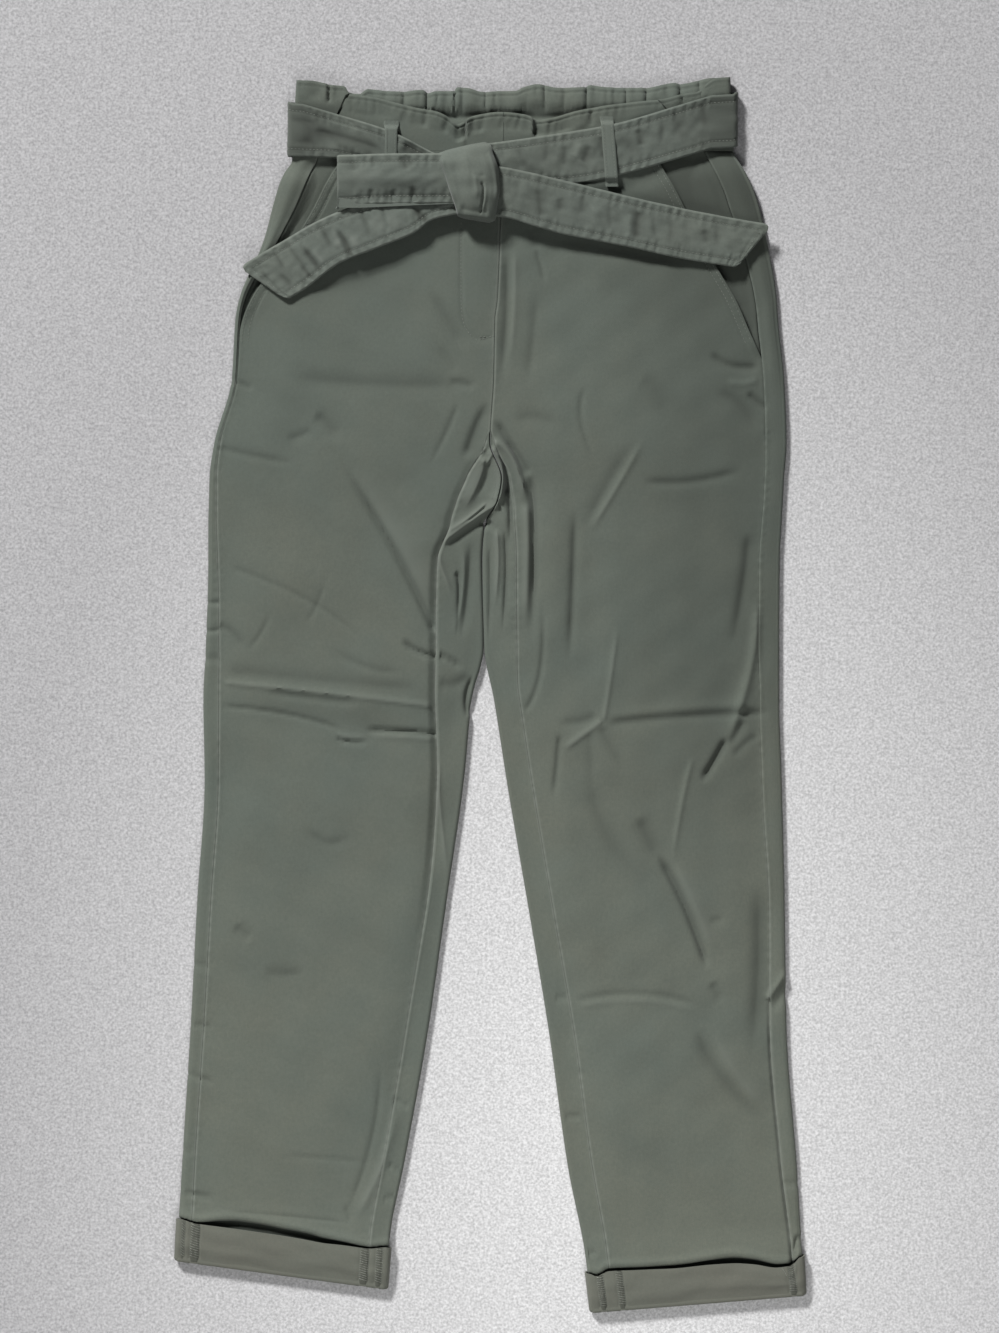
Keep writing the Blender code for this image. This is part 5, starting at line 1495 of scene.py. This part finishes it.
# %% Creases of the belt
RUN_CREASES = {
    "right": read_creases("""
-144.5 458 -119.4 453.1 -85.3 441.7  2.7 3.51  -1.02  0.2 0.3
-145.5 470 -144.5 456 -146.8 443  3.24 5.4  -0.54  0.3 0.4
-134 466 -118 462 -98 455  3.24 3.24  0.54
-104 437 -94 434 -84 430  4.05 2.7  -0.96  0.3 0.2
-140 446 -118 443 -95 437  4.05 4.05  0.42
-68 449 -60 438 -50 428  6.08 6.08  -1.32  0.2 0.2
-160 470 -152 466 -139 464  2.16 2.16  -0.54  0.2 0.3
-158 447 -150 449 -141 447  2.16 2.16  -0.48  0.2 0.3
-128 447 -112 441 -98 434  2.03 2.03  -0.48
"""),
    "left": read_creases("""
74.7 432 78 438 81.2 446.6  3.24 3.24  -1.2  0.2 0.2
68.5 436 71 441 74 449  4.05 4.05  0.54  0.2 0.2
89.3 454.7 91 445 92.6 433.6  2.97 2.97  -1.08  0.2 0.2
60 446 61 438 60 428  2.97 2.97  -0.72  0.2 0.2
120.2 459.6 122 452 123.4 445  3.24 3.24  -0.96  0.2 0.2
150 474 153 462 158 450  4.05 4.05  -0.6  0.2 0.2
104 452 112 446 118 437  5.4 5.4  -0.6
194 480 193 466 192 452  2.43 2.43  -0.48  0.2 0.2
138 470 140 458 137 443  2.29 2.29  -0.6
22 447 26 436 33 424  2.7 2.7  -0.6
44 449 46 440 44 430  2.16 2.16  -0.54
170 481 174 470 173 458  2.43 2.43  -0.54  0.2 0.3
"""),
}
BOW_CREASES = read_creases("""
-71.5 436 -69 430 -66 423  2.97 2.97  -1.2  0.2 0.3
-66 436 -64 431 -62 427  2.16 2.16  -0.78  0.2 0.3
-63 413 -62 405 -60 399  2.97 2.97  -1.32  0.3 0.2
-80 409 -79 404 -79 399  2.43 2.43  -0.84  0.3 0.2
-97 410 -96 405 -97 399  2.43 2.43  -0.72  0.3 0.2
-112 434 -110 428 -110 423  2.43 2.43  -0.84  0.2 0.3
-95 435 -94 430 -93 426  2.43 2.43  -0.66  0.2 0.3
-118 434 -117.5 417 -118 402  2.16 2.16  -0.66  0.2 0.2
-118 425 -100 421 -80 423  6.75 6.75  0.3
-100 414 -80 411 -55 413  5.4 5.4  -0.3
""")
TAIL_CREASES = {
    "right": read_creases("""
-152.7 365.6 -144 354 -133.85 340.95  1.71 2.15  -2  0.4 0.4
-145 363 -139 356 -133 349  2.3 2.76  0.62  0.5 0.3
-155.25 353.15 -148 343 -142.2 335.75  1.43 1.79  -1.51  0.4 0.4
-172.7 341.8 -164 336 -159.65 327.3  1.71 2.15  -1  0.4 0.4
-126.15 380.95 -116 365 -110.2 350.5  1.71 2.15  -2.25  0.4 0.4
-116 378 -110 368 -105 360  2.99 3.68  0.78  0.5 0.3
-129 380 -124 371 -121 362  2.99 2.99  0.78  0.5 0.3
-137.8 382.6 -132 371 -126.2 359.4  1.43 1.79  -1.25  0.4 0.4
-64.27 399.59 -56 389 -47.73 380.74  2.49 3.14  -1.83  0.4 0.4
-49 388 -40 396 -30 396  2.53 2.53  0.67  0.5 0.2
-100 392 -84 384 -66 384  10.35 10.35  0.45  0.5 0.3
-178.7 366.5 -170 352 -164.2 340.4  1.14 1.44  -1  0.4 0.4
-165.25 370.05 -158 357 -146.4 345.4  1.14 1.44  -0.84  0.4 0.4
-108.7 396.5 -100 382 -97.1 364.6  1.57 1.97  -0.92  0.4 0.4
-92.25 402.5 -85 388 -83.55 370.6  1.43 1.79  -0.75  0.4 0.4
-192.7 355.6 -184 344 -178.2 332.4  1.28 1.61  -0.67  0.4 0.4
"""),
    "left": read_creases("""
38.2 410.9 40.6 398 41.4 386.5  3.36 3.36  -1  0.2 0.2
56 403 57 397.8 57.7 390  3.36 3.36  -0.9
121 393 119 382 119.4 368  3.64 3.64  -1.4  0.2 0.2
114 392 113 380 113 368  3.64 3.64  0.5  0.2 0.2
172.9 378.4 175 372 176.2 365.4  3.36 3.36  -0.9
76 406 75 398 76 388  2.8 2.8  -0.6
146 388 147 376 145 364  2.8 2.8  -0.55
80 404 84 396 92 388  5.6 5.6  0.3
20 420 22 409 19 397  2.52 2.52  -0.5
98 398 97 388 99 377  2.52 2.52  -0.5
134 392 133 380 136 369  2.24 2.24  -0.5
186 384 184 373 186 362  2.52 2.52  -0.4
"""),
}


# %% Runs, bow and tails
def run_painted_shade(x):
    """Painted shade on the runs: a little darker all over, as the light falls off towards the waist, and
    most of all at their ends.
    """
    return 0.15 + 0.6 * ease((abs(x - 18) - 115) / 55)


def facing_up(rows, beneath):
    """1 on a strip's rows that face up, falling to 0 round the turn, for the rows beneath too."""
    turn = 1 - ease(np.linspace(0, 1, TURN_ROWS - 1) * 1.3)
    return np.concatenate([np.ones(rows), turn, np.zeros(beneath - len(turn))])[:, None]


def run_points(stretch, fold, rows):
    """A run of the belt to the side fold of the trousers, round it and on behind."""
    top = ribbon(stretch, rows, BELT_COLUMNS)
    level = 1 - ease((np.arange(rows) / (rows - 1) - 0.75) / 0.25)[:, None]
    top[..., 2] += 2.4 * level * (0.5 - np.linspace(0, 1, BELT_COLUMNS))[None]
    under = turned_under(top[-1], fold, 0.0, 14)
    return np.concatenate([top, under]), facing_up(rows, len(under))


def bow_points():
    """The loop of the bow: out from the knot, round its end, and back beneath to the knot."""
    top = ribbon(BOW_LOOP, 74, BELT_COLUMNS)
    top[..., 2] -= BOW_DROOP * ease((np.linspace(0, 1, BELT_COLUMNS) - 0.45) / 0.55)[None]
    under = turned_under(top[-1], BOW_FOLD, BOW_LOW, 10)
    back = ribbon(BOW_BENEATH, 26, BELT_COLUMNS, crown=0.0)
    return np.concatenate([top, under, back]), facing_up(74, len(under) + len(back))


def belt_piece(stretch, points, shown, seed, flip, creases, end=False, painted_shade=np.zeros_like):
    """One stretch of the belt, with its relief, its wall and its two rows of stitches."""
    name = f"sash_{stretch}"
    flat = BELT_FLAT, round(cloth_area(points) / BELT_FLAT, 3)
    points, normals, wear = finish_strip(points, seed, shown, creases, end, painted_shade)
    piece = sheet_piece(name, points, BELT_WALL, belt_twill, flip=flip, wear=wear)
    rows, columns = points.shape[:2]
    width = np.linalg.norm(points[:, -1] - points[:, 0], axis=1)
    inset = STITCH_IN / width * (columns - 1)
    last = rows - 1 if not end else rows - 1 - STITCH_IN / np.linalg.norm(points[-1, 9] - points[-2, 9])
    i = np.linspace(0, last, 4 * rows)
    if not end:
        i = i[i < (shown[:, 0] > 0.4).sum()]
    j = np.interp(i, np.arange(rows), inset)
    lines = [(i, j), (i, columns - 1 - j)]
    if end:
        j = np.linspace(inset[-1], columns - 1 - inset[-1], 90)
        lines.append((last + 0 * j, j))
    lines = [on_surface(points, normals, i, j) for i, j in lines]
    stitches = sew(f"stitches_{name}", lines, seam_thread, "belt_twill")
    sew_up(piece, f"belt_{stretch}", flat)


for name, stretch, rows, flip in (("right", RIGHT_RUN, 104, True), ("left", LEFT_RUN, 146, False)):
    points, shown = run_points(stretch, RUN_FOLD[name], rows)
    belt_piece(f"run_{name}", points, shown, 100 + rows, flip, RUN_CREASES[name],
               painted_shade=run_painted_shade)
points, shown = bow_points()
belt_piece("bow_loop", points, shown, 131, True, BOW_CREASES)
# painted shade: the left tail, where x is over 0, is painted a little darker than the right one
for name, stretch, rows, flip in (("right", RIGHT_TAIL, 140, True), ("left", LEFT_TAIL, 172, False)):
    points = ribbon(stretch, rows, 35, corner=6.0)
    belt_piece(f"tail_{name}", points, np.ones((rows, 1)), 150 + rows, flip, TAIL_CREASES[name],
               end=True, painted_shade=lambda x: 0.15 * (x > 0))

# %% Behind the waist, and the loops
LOOP_WALL = 1.0
LOOP_WIDTH = 10.0
BACK_LOOPS = {"right": -96.0, "centre": 18.0, "left": 132.0}
FRONT_LOOPS = {            # the run beneath, the loop's middle at that run's edges, its half width
    "right": (RIGHT_RUN, (-80, 460.5), (-80.5, 421.5), lambda run: 5.0 + 1.4 * bell(run + 4.0, 3.5)),
    "left": (LEFT_RUN, (95, 464), (98.5, 419), lambda run: 5.2 + 0.5 * bell(run + 5, 3)),
}


def belt_back_points(rows=180, columns=25):
    """The belt behind the waist: flat on the floor, and riding over its three loops."""
    x = np.linspace(BELT_BACK["x"][0], BELT_BACK["x"][-1], rows)
    upper, lower = (follow(BELT_BACK, x, k) for k in ("upper", "lower"))
    over = sum(1 - ease((abs(x - at) - 6.5) / 13.5) for at in BACK_LOOPS.values())
    share = np.linspace(0, 1, columns)[None]
    y = upper[:, None] * (1 - share) + lower[:, None] * share
    edge = np.minimum(share, 1 - share) * (upper - lower)[:, None]
    rounded = 0.7 * rolled(edge, 1.3)
    z = ((LOOP_WALL + GAP) * over)[:, None] + rounded + 0.25 * bell(edge - STITCH_IN, 1.0)
    return np.stack([x[:, None] + 0 * y, y, z], axis=2)


points = belt_back_points()
piece = sheet_piece("sash_back", points, BELT_WALL, belt_twill, flip=True)
sew_up(piece, "belt_back", (0.042, 0.31))


def loop_points(upper, lower, flat, raised, half_width, rows=56, columns=13):
    """A belt loop: flat on the trousers at both ends, stepping over each edge of the belt.

    Along it, the height is flat + (raised - flat) * ease(distance into the belt).
    """
    upper, lower = np.array(upper, float), np.array(lower, float)
    length = np.linalg.norm(lower - upper)
    along = (lower - upper) / length
    run = np.linspace(-6, length + 6, rows)[:, None]
    inside = np.minimum(run, length - run)
    z = flat + (raised - flat) * ease((inside + 3.0) / 4.4)
    across = np.linspace(-1, 1, columns)[None]
    half = half_width(run)
    x = upper[0] + along[0] * run + across * half
    y = upper[1] + along[1] * run + 0 * across
    edge = (1 - abs(across)) * half
    z = z - 0.5 * rolled(edge, 0.9) + 0.15 * bell(edge - 1.2, 0.8) - 0.15 * bell(edge - 2.2, 0.6)
    return np.stack([x, y, z], axis=2)


# %% Belt loops
for name, (run, upper, lower, half) in FRONT_LOOPS.items():
    nearest = abs(upper[0]) - 0.5 * LOOP_WIDTH
    belt_top = smooth(nearest, abs(run["upper_x"]), run["height"]) + BELT_CROWN + 0.35
    flat = BELT_LIFT + BAND_HEIGHT + GAP + LOOP_WALL
    points = loop_points(upper, lower, flat, belt_top + GAP + LOOP_WALL, half)
    normals = -grid_normals(points)
    normals = normals * np.sign(normals[5, 5, 2])
    piece = sheet_piece(f"loop_front_{name}", points, LOOP_WALL, belt_twill, flip=True)
    i, columns = np.linspace(1, len(points) - 2, 90), points.shape[1] - 1
    lines = [on_surface(points, normals, i, 0 * i + share * columns) for share in (0.2, 0.8)]
    stitches = sew(f"stitches_loop_{name}", lines, seam_thread, "belt_twill", *FINE_STITCH)
    sew_up(piece, f"belt_loop_{name}", (0.011, 0.075))
for name, x in BACK_LOOPS.items():
    upper, lower = (float(follow(BELT_BACK, x, k)) for k in ("upper", "lower"))
    points = loop_points((x, upper), (x, lower), 0.0, BELT_LIFT - GAP - LOOP_WALL, lambda run: 5.0)
    points[..., 2] = BELT_LIFT - GAP - points[..., 2]
    piece = sheet_piece(f"loop_back_{name}", points, LOOP_WALL, belt_twill, flip=True)
    sew_up(piece, f"belt_loop_back_{name}", (0.011, 0.065))

# %% [markdown]
# ## The knot
# One turn of the sash is wrapped down over the others and tucked in below. It is the same
# strip, so it has two turned edges and some folds along its length. It is a closed form whose
# cross sections are squared-off ovals, so that its top is broad and its sides go down steeply.

# %% The knot
KNOT = table(
    "left_x left_y right_x right_y top",
    (-37, 441, -4, 448.5, 20), (-42, 437.5, 1, 445, 26.5), (-41, 431, 3, 438, 30.0),
    (-36, 418, 7, 425, 31.5), (-32, 406, 8, 411, 31), (-28, 395, 6, 396, 29),
    (-26, 388.5, 4, 385, 25), (-22, 387, 0, 383.5, 20),
)
KNOT_LOW = 9.5
KNOT_CREASES = read_creases("""
-7.3 414 -5.0 406 -8 388  0.6 0.8  -1.8  0.15 0.1
-5.4 414 -3.2 406 -6 390  1.0 1.0  0.5  0.2 0.2
-14 421 -8 419 -4 421  1.6 1.6  -0.6  0.2 0.2
-13 424 -11 412 -10 400  3.0 2.0  1.2
-30 432 -26 415 -22 396  4.5 4.5  -1.0
-36 431 -31 412 -25 394  1.6 1.6  0.6  0.2 0.2
-1.5 440 4.5 420 5.4 396  1.2 1.2  0.5  0.1 0.1
-4 439 1.5 420 2.6 398  1.4 1.4  -0.2  0.2 0.2
-39 434 -33 412 -27 392  1.1 1.1  0.8  0.1 0.1
-36.5 434 -30.5 412 -24.5 392  1.1 1.1  -0.6  0.2 0.2
-22 441 -18 425 -17 405  5 5  0.8
-26 394 -12 391 0 391  4 4  -1.6  0.2 0.2
""")


def knot_points(rows=96, around=168):
    """Sections down the wrap. Each is (cos a, sin a) times a reach that makes the oval squarer:
    reach = (|cos a|^p + |sin a|^p)^(-1/p), with p = 4.2."""
    index = np.arange(len(KNOT["top"]), dtype=float)
    at = 0.5 - 0.5 * np.cos(np.pi * np.linspace(0, 1, rows))
    at = (0.5 * at + 0.5 * np.linspace(0, 1, rows)) * index[-1]
    row = {k: smooth(at, index, v)[:, None] for k, v in KNOT.items()}
    angle = np.linspace(0, 2 * np.pi, around, endpoint=False)[None]
    reach = (abs(np.cos(angle)) ** 4.2 + abs(np.sin(angle)) ** 4.2) ** (-1 / 4.2)
    half = np.cos(angle) * reach
    x = 0.5 * (row["left_x"] + row["right_x"]) + half * 0.5 * (row["right_x"] - row["left_x"])
    y = 0.5 * (row["left_y"] + row["right_y"]) + half * 0.5 * (row["right_y"] - row["left_y"])
    z_half = 0.5 * (row["top"] - KNOT_LOW)
    z = 0.5 * (row["top"] + KNOT_LOW) + z_half * np.sin(angle) * reach
    up = ease(1.6 * np.sin(angle))
    z = z - up * 2.6 * ease((half - 0.15) / 0.85)
    z = z + up * (crease_relief(x, y, KNOT_CREASES) + 0.4 * ripples(x, y, 201, 16))
    return np.stack([x, y, z], axis=2)


points = knot_points()
rows, around = points.shape[:2]
caps = [np.arange(around)[None, ::-1], ((rows - 1) * around + np.arange(around))[None]]
uv = np.stack([np.broadcast_to(np.arange(around) * 0.6, (rows, around)),
               np.broadcast_to(np.arange(rows)[:, None] * 0.63, (rows, around))], axis=2) * MM
faces = [grid_quads(rows, around, ring=True), *caps]
mesh = new_mesh("sash_knot", points.reshape(-1, 3), faces, uv.reshape(-1, 2))
piece = new_piece("sash_knot", mesh, belt_twill)
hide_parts("belt_knot")
print("sash_knot:", len(mesh.vertices), "points")

# %% [markdown]
# ## The cuffs
# The hems are turned up once to the outside, so what shows is the wrong side of the twill,
# and at its sides the overlocked edges of the seams. A cuff is a ring that stands off the leg
# at its free edge, and the leg goes down into it. The gap between the two is the darkest
# line of the whole thing, so it is modelled as a gap. The leg's cloth where it goes down
# into the gap is also painted darker, as painted shade.

# %% Cuffs
CUFF_RADIUS = 1.75
CUFF_WALL = 1.3
CUFF_PROFILE = table(
    "height inset", (CUFF_HEIGHT, 0), (0.55 * CUFF_HEIGHT, 0), (2.0, 0), (0.5, 0.5 * CUFF_RADIUS),
    (0, CUFF_RADIUS), (0.5, 1.5 * CUFF_RADIUS), (2.0, 2 * CUFF_RADIUS), (CUFF_TURN, 2 * CUFF_RADIUS),
)
OVERLOCK = {              # where the seams' overlocked edges lie, in from the cuff's right side fold
    "right": ((0.6, 3.4), (8.0, 15.5), (146.5, 153.5), (159.5, 165.0)),
    "left": ((4.8, 10.0), (20.0, 25.5), (159.0, 165.0)),
}
CUFF_SHARE = np.concatenate([      # columns across the front, closer at the seams
    np.linspace(0, 0.2, 44)[:-1], np.linspace(0.2, 0.8, 30)[:-1], np.linspace(0.8, 1, 44),
])


def cuff_points(leg, name, turns=13, rows=46):
    """A ring round the leg: down its outer face, turned in at the hem, and back up inside."""
    hem = np.array([leg.outer[-1], leg.inner[-1]])
    up_leg = np.array([leg.outer[0], leg.inner[0]]) - hem
    up_leg = up_leg / np.linalg.norm(up_leg, axis=1)[:, None]
    index = np.arange(len(CUFF_PROFILE["height"]), dtype=float)
    dense = np.linspace(0, index[-1], 300)
    profile = {k: np.interp(dense, index, v) for k, v in CUFF_PROFILE.items()}
    steps = np.hypot(np.diff(profile["height"]), np.diff(profile["inset"]))
    run = np.concatenate([[0], np.cumsum(steps)])
    even = np.linspace(0, run[-1], rows)
    height, inset = (np.interp(even, run, profile[k])[:, None] for k in ("height", "inset"))
    outer, inner = (hem[k] + up_leg[k] * (height - CUFF_TURN - GAP) for k in (0, 1))
    width = np.linalg.norm(inner - outer, axis=1)[:, None]
    radius = FOLD + CUFF_INSET - inset
    free = ease((height - 8) / (CUFF_HEIGHT - 8))
    share = CUFF_SHARE[None]
    span = FOLD + (width - 2 * FOLD) * share
    bend_share = np.linspace(0, 1, turns + 1)[None, 1:-1]
    bend = np.pi * bend_share
    from_outer = np.concatenate([
        span, width - FOLD + radius * np.sin(bend), span[:, ::-1], FOLD - radius * np.sin(bend),
    ], axis=1)
    puff = 1.6 * free * (0.55 + 0.45 * np.sin(np.pi * share))
    wave = 0.22 * ripples(80 * share, height, 300 + leg.side, 22) * ease(height / 12)
    across = share * (width - 2 * FOLD)
    from_right = across if leg.side < 0 else width - 2 * FOLD - across
    bands = np.zeros(from_outer.shape)
    for first, last in OVERLOCK[name]:
        pucker = 0.5 * puckers(height, 310 + int(first), 3.4)
        past, before = from_right - first, last - from_right
        wave = wave + (0.55 + 0.25 * pucker) * ease(past / 1.2) * ease(before / 1.2)
        wave = wave - 0.5 * bell(past, 0.9) - 0.5 * bell(before, 0.9)
        bands[:, :span.shape[1]] -= 0.7 * ease(past / 0.8) * ease(before / 0.8)
    wave = wave * ease(share / 0.03) * ease((1 - share) / 0.03)
    outside = ease((FOLD + 1 - inset) / 2)
    pressed = 2.6 * (1 - ease(height / 15))          # flat along the hem
    half_puff = puff[:, -1:] * (0.5 + 0.5 * np.cos(bend)) - 0.5 * pressed * (1 + np.cos(bend))
    round_fold = radius * np.cos(bend) + half_puff * outside
    front = radius + (puff + wave - pressed) * outside
    z = FOLD + CUFF_INSET + np.concatenate([
        front, round_fold, 0 * span - radius, round_fold[:, ::-1],
    ], axis=1)
    front_sag = follow(leg.cuff_edge, share if leg.side < 0 else 1 - share, "sag")
    start, end = front_sag[:, :1], front_sag[:, -1:]
    sagging = np.concatenate([
        front_sag, end * (1 - bend_share), 0 * share, start * bend_share,
    ], axis=1) * ease(height / CUFF_HEIGHT) * outside
    x = outer[:, :1] + from_outer * (inner - outer)[:, :1] / width
    y = outer[:, 1:] + from_outer * (inner - outer)[:, 1:] / width + sagging
    return np.stack([x, y, z], axis=2), bands * outside


def ring_mesh(name, outer, wall, flip):
    """A sheet whose rows close into rings, with its wall inside and a rim at both ends."""
    normals = grid_normals(outer, ring=True) * (-1 if flip else 1)
    inner = outer - wall * normals
    rows, columns = outer.shape[:2]
    first = rows * columns
    edge, after = np.arange(columns), (np.arange(columns) + 1) % columns
    top = np.stack([after, edge, edge + first, after + first], axis=1)
    low = (rows - 1) * columns
    bottom = np.stack([edge + low, after + low, after + low + first, edge + low + first], axis=1)
    outside = grid_quads(rows, columns, ring=True)
    faces = [outside, outside[:, ::-1] + first, top, bottom]
    if flip:
        faces = [f[:, ::-1] for f in faces]
    across = np.linalg.norm(outer - np.roll(outer, 1, axis=1), axis=2)
    down = np.broadcast_to(np.arange(rows)[:, None] * 1.0, across.shape)
    uv = (np.stack([np.cumsum(across, axis=1), down], axis=2) * MM).reshape(-1, 2)
    points = np.concatenate([outer.reshape(-1, 3), inner.reshape(-1, 3)])
    return new_mesh(name, points, faces, np.concatenate([uv, uv]))


def overlock_stitches(name, points, normals, width, side):
    """Overlock thread on a cuff: close slanting strokes across each seam edge, and a chain beside it."""
    lines, rows = [], 32
    at = CUFF_SHARE * width if side < 0 else (1 - CUFF_SHARE) * width
    order = np.argsort(at)
    for first, last in OVERLOCK[name]:
        j = [np.interp(k, at[order], order) for k in (first + 0.2, last - 0.2)]
        for i in np.arange(0.8, rows, 2.3):
            stroke = i + 1.5 * np.linspace(0, 1, 9), np.linspace(*j, 9)
            lines.append(on_surface(points, normals, *stroke))
    if side > 0:          # a thread end that has come loose
        top = np.s_[:rows, :len(CUFF_SHARE)]
        x, y = np.linspace(235.5, 240.4, 9), -463.7 - 6.4 * np.linspace(0, 1, 9) ** 2
        lines.append(nearest_on(points[top], normals[top], x, y))
    made = sew(f"overlock_{name}", lines, overlock_thread, "twill_wrong_side", 1.2, 1.3, 0.62)
    chains = []
    for k in [v for pair in OVERLOCK[name] for v in pair]:
        j = np.interp(k, at[order], order)
        i = np.linspace(0.3, rows, 60)
        chains.append(on_surface(points, normals, i, 0 * i + j))
    return made, sew(f"overlock_chain_{name}", chains, seam_thread, "twill_wrong_side", 1.9, 1.5, 0.6)


CUFF_DOWN = np.array([870.0, HEM_DOWN])
for name, sections, side in LEGS:
    leg = Leg(sections, side, CUFF_DOWN)
    points, bands = cuff_points(leg, name)
    normals = grid_normals(points, ring=True)
    flip = normals[5, 60, 2] < 0
    mesh = ring_mesh(f"turned_cuff_{name}", points, CUFF_WALL, flip)
    mark_wear(mesh, np.concatenate([bands.ravel(), 0 * bands.ravel()]))
    piece = new_piece(f"turned_cuff_{name}", mesh, wrong_twill)
    normals = normals * (-1 if flip else 1)
    threads = overlock_stitches(name, points, normals, leg.width[-1, 0] - 2 * FOLD, side)
    area = round(min(cloth_area(points), 0.0165), 4)
    sew_up(piece, f"cuff_{name}", (0.37, 0.045))

# %% [markdown]
# ## Floor, light and camera
# The trousers lie on a pale floor under a large soft light from over the waist, a little to
# the wearer's right. A long lens from straight above keeps all of the flat shape in one scale.

# %% Floor
# a pool of light painted into the floor's colour
PAINTED_LIGHT_POOL = 0.10, -0.33        # where the floor is brightest, in metres


def floor_finish():
    """A pale, dry floor with a very fine speckle, and a pool of light painted on it: dimmer away from the
    pool.
    """
    g = Graph("pale floor")
    where = g.node("ShaderNodeTexCoord", out=3)
    shade = g.between(g.noise(where, 480.0, 2.0, 0.7), 0.3, 0.7)
    east, north, _ = g.split(where)
    x, y = east - PAINTED_LIGHT_POOL[0], (north - PAINTED_LIGHT_POOL[1]) * 0.6
    away = g.between((x * x + y * y) ** 0.5, 0.05, 0.50)
    # the painted pool of light: near is its bright colour, far the dimmer floor around it
    near = g.blend(shade, (0.425, 0.423, 0.423, 1), (0.75, 0.747, 0.747, 1))
    far = g.blend(shade, (0.265, 0.262, 0.266, 1), (0.47, 0.464, 0.471, 1))
    g.put(g.shader.inputs["Base Color"], g.blend(away, near, far))
    g.shader.inputs["Roughness"].default_value = 0.9
    return g.material


FLOOR = np.array([[-3000, -3000, -0.4], [3000, -3000, -0.4], [3000, 3000, -0.4], [-3000, 3000, -0.4]])
floor_mesh = new_mesh("floor", FLOOR, [np.array([[0, 1, 2, 3]])])
floor = bpy.data.objects.new("floor", floor_mesh)
bpy.context.scene.collection.objects.link(floor)
floor_mesh.materials.append(floor_finish())
floor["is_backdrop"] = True

# %% Light
def soft_light(name, place, aim, size, power):
    """A square area light at a place, turned to its aim, both in metres."""
    lamp = bpy.data.lights.new(name, "AREA")
    lamp.size, lamp.energy = size, power
    made = bpy.data.objects.new(name, lamp)
    made.location = place
    direction = np.array(aim) - np.array(place)
    made.rotation_euler = mathutils.Vector(direction).to_track_quat("-Z", "Y").to_euler()
    bpy.context.scene.collection.objects.link(made)


soft_light("window light", (-3.1, 5.4, 3.7), (0, 0, 0), 1.1, 880)
soft_light("room light", (0.25, -1.5, 1.5), (0.1, -0.6, 0), 1.3, 22)
world = bpy.data.worlds.new("room")
world.use_nodes = True
world.node_tree.nodes["Background"].inputs[0].default_value = (0.95, 0.97, 1.0, 1)
world.node_tree.nodes["Background"].inputs[1].default_value = 0.09
bpy.context.scene.world = world

# %% Camera
FRAME_MIDDLE, FRAME_HEIGHT = (7.7, 24.0), 1082.0     # of the view, in millimetres on the cloth
CAMERA_HEIGHT = 3000.0
lens = bpy.data.cameras.new("camera")
lens.sensor_fit, lens.sensor_height, lens.sensor_width = "VERTICAL", 36.0, 27.0
lens.lens = 36.0 * (CAMERA_HEIGHT - 6) / FRAME_HEIGHT
lens.clip_start, lens.clip_end = 0.1, 20.0
camera = bpy.data.objects.new("camera", lens)
camera.location = (FRAME_MIDDLE[0] * MM, FRAME_MIDDLE[1] * MM, CAMERA_HEIGHT * MM)
bpy.context.scene.collection.objects.link(camera)
bpy.context.scene.camera = camera
bpy.context.scene.view_settings.view_transform = "Standard"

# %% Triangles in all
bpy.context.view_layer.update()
shown = [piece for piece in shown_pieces() if piece.type == "MESH" and not piece.hide_render]
print("triangles in all, before modifiers:", count_triangles(shown))
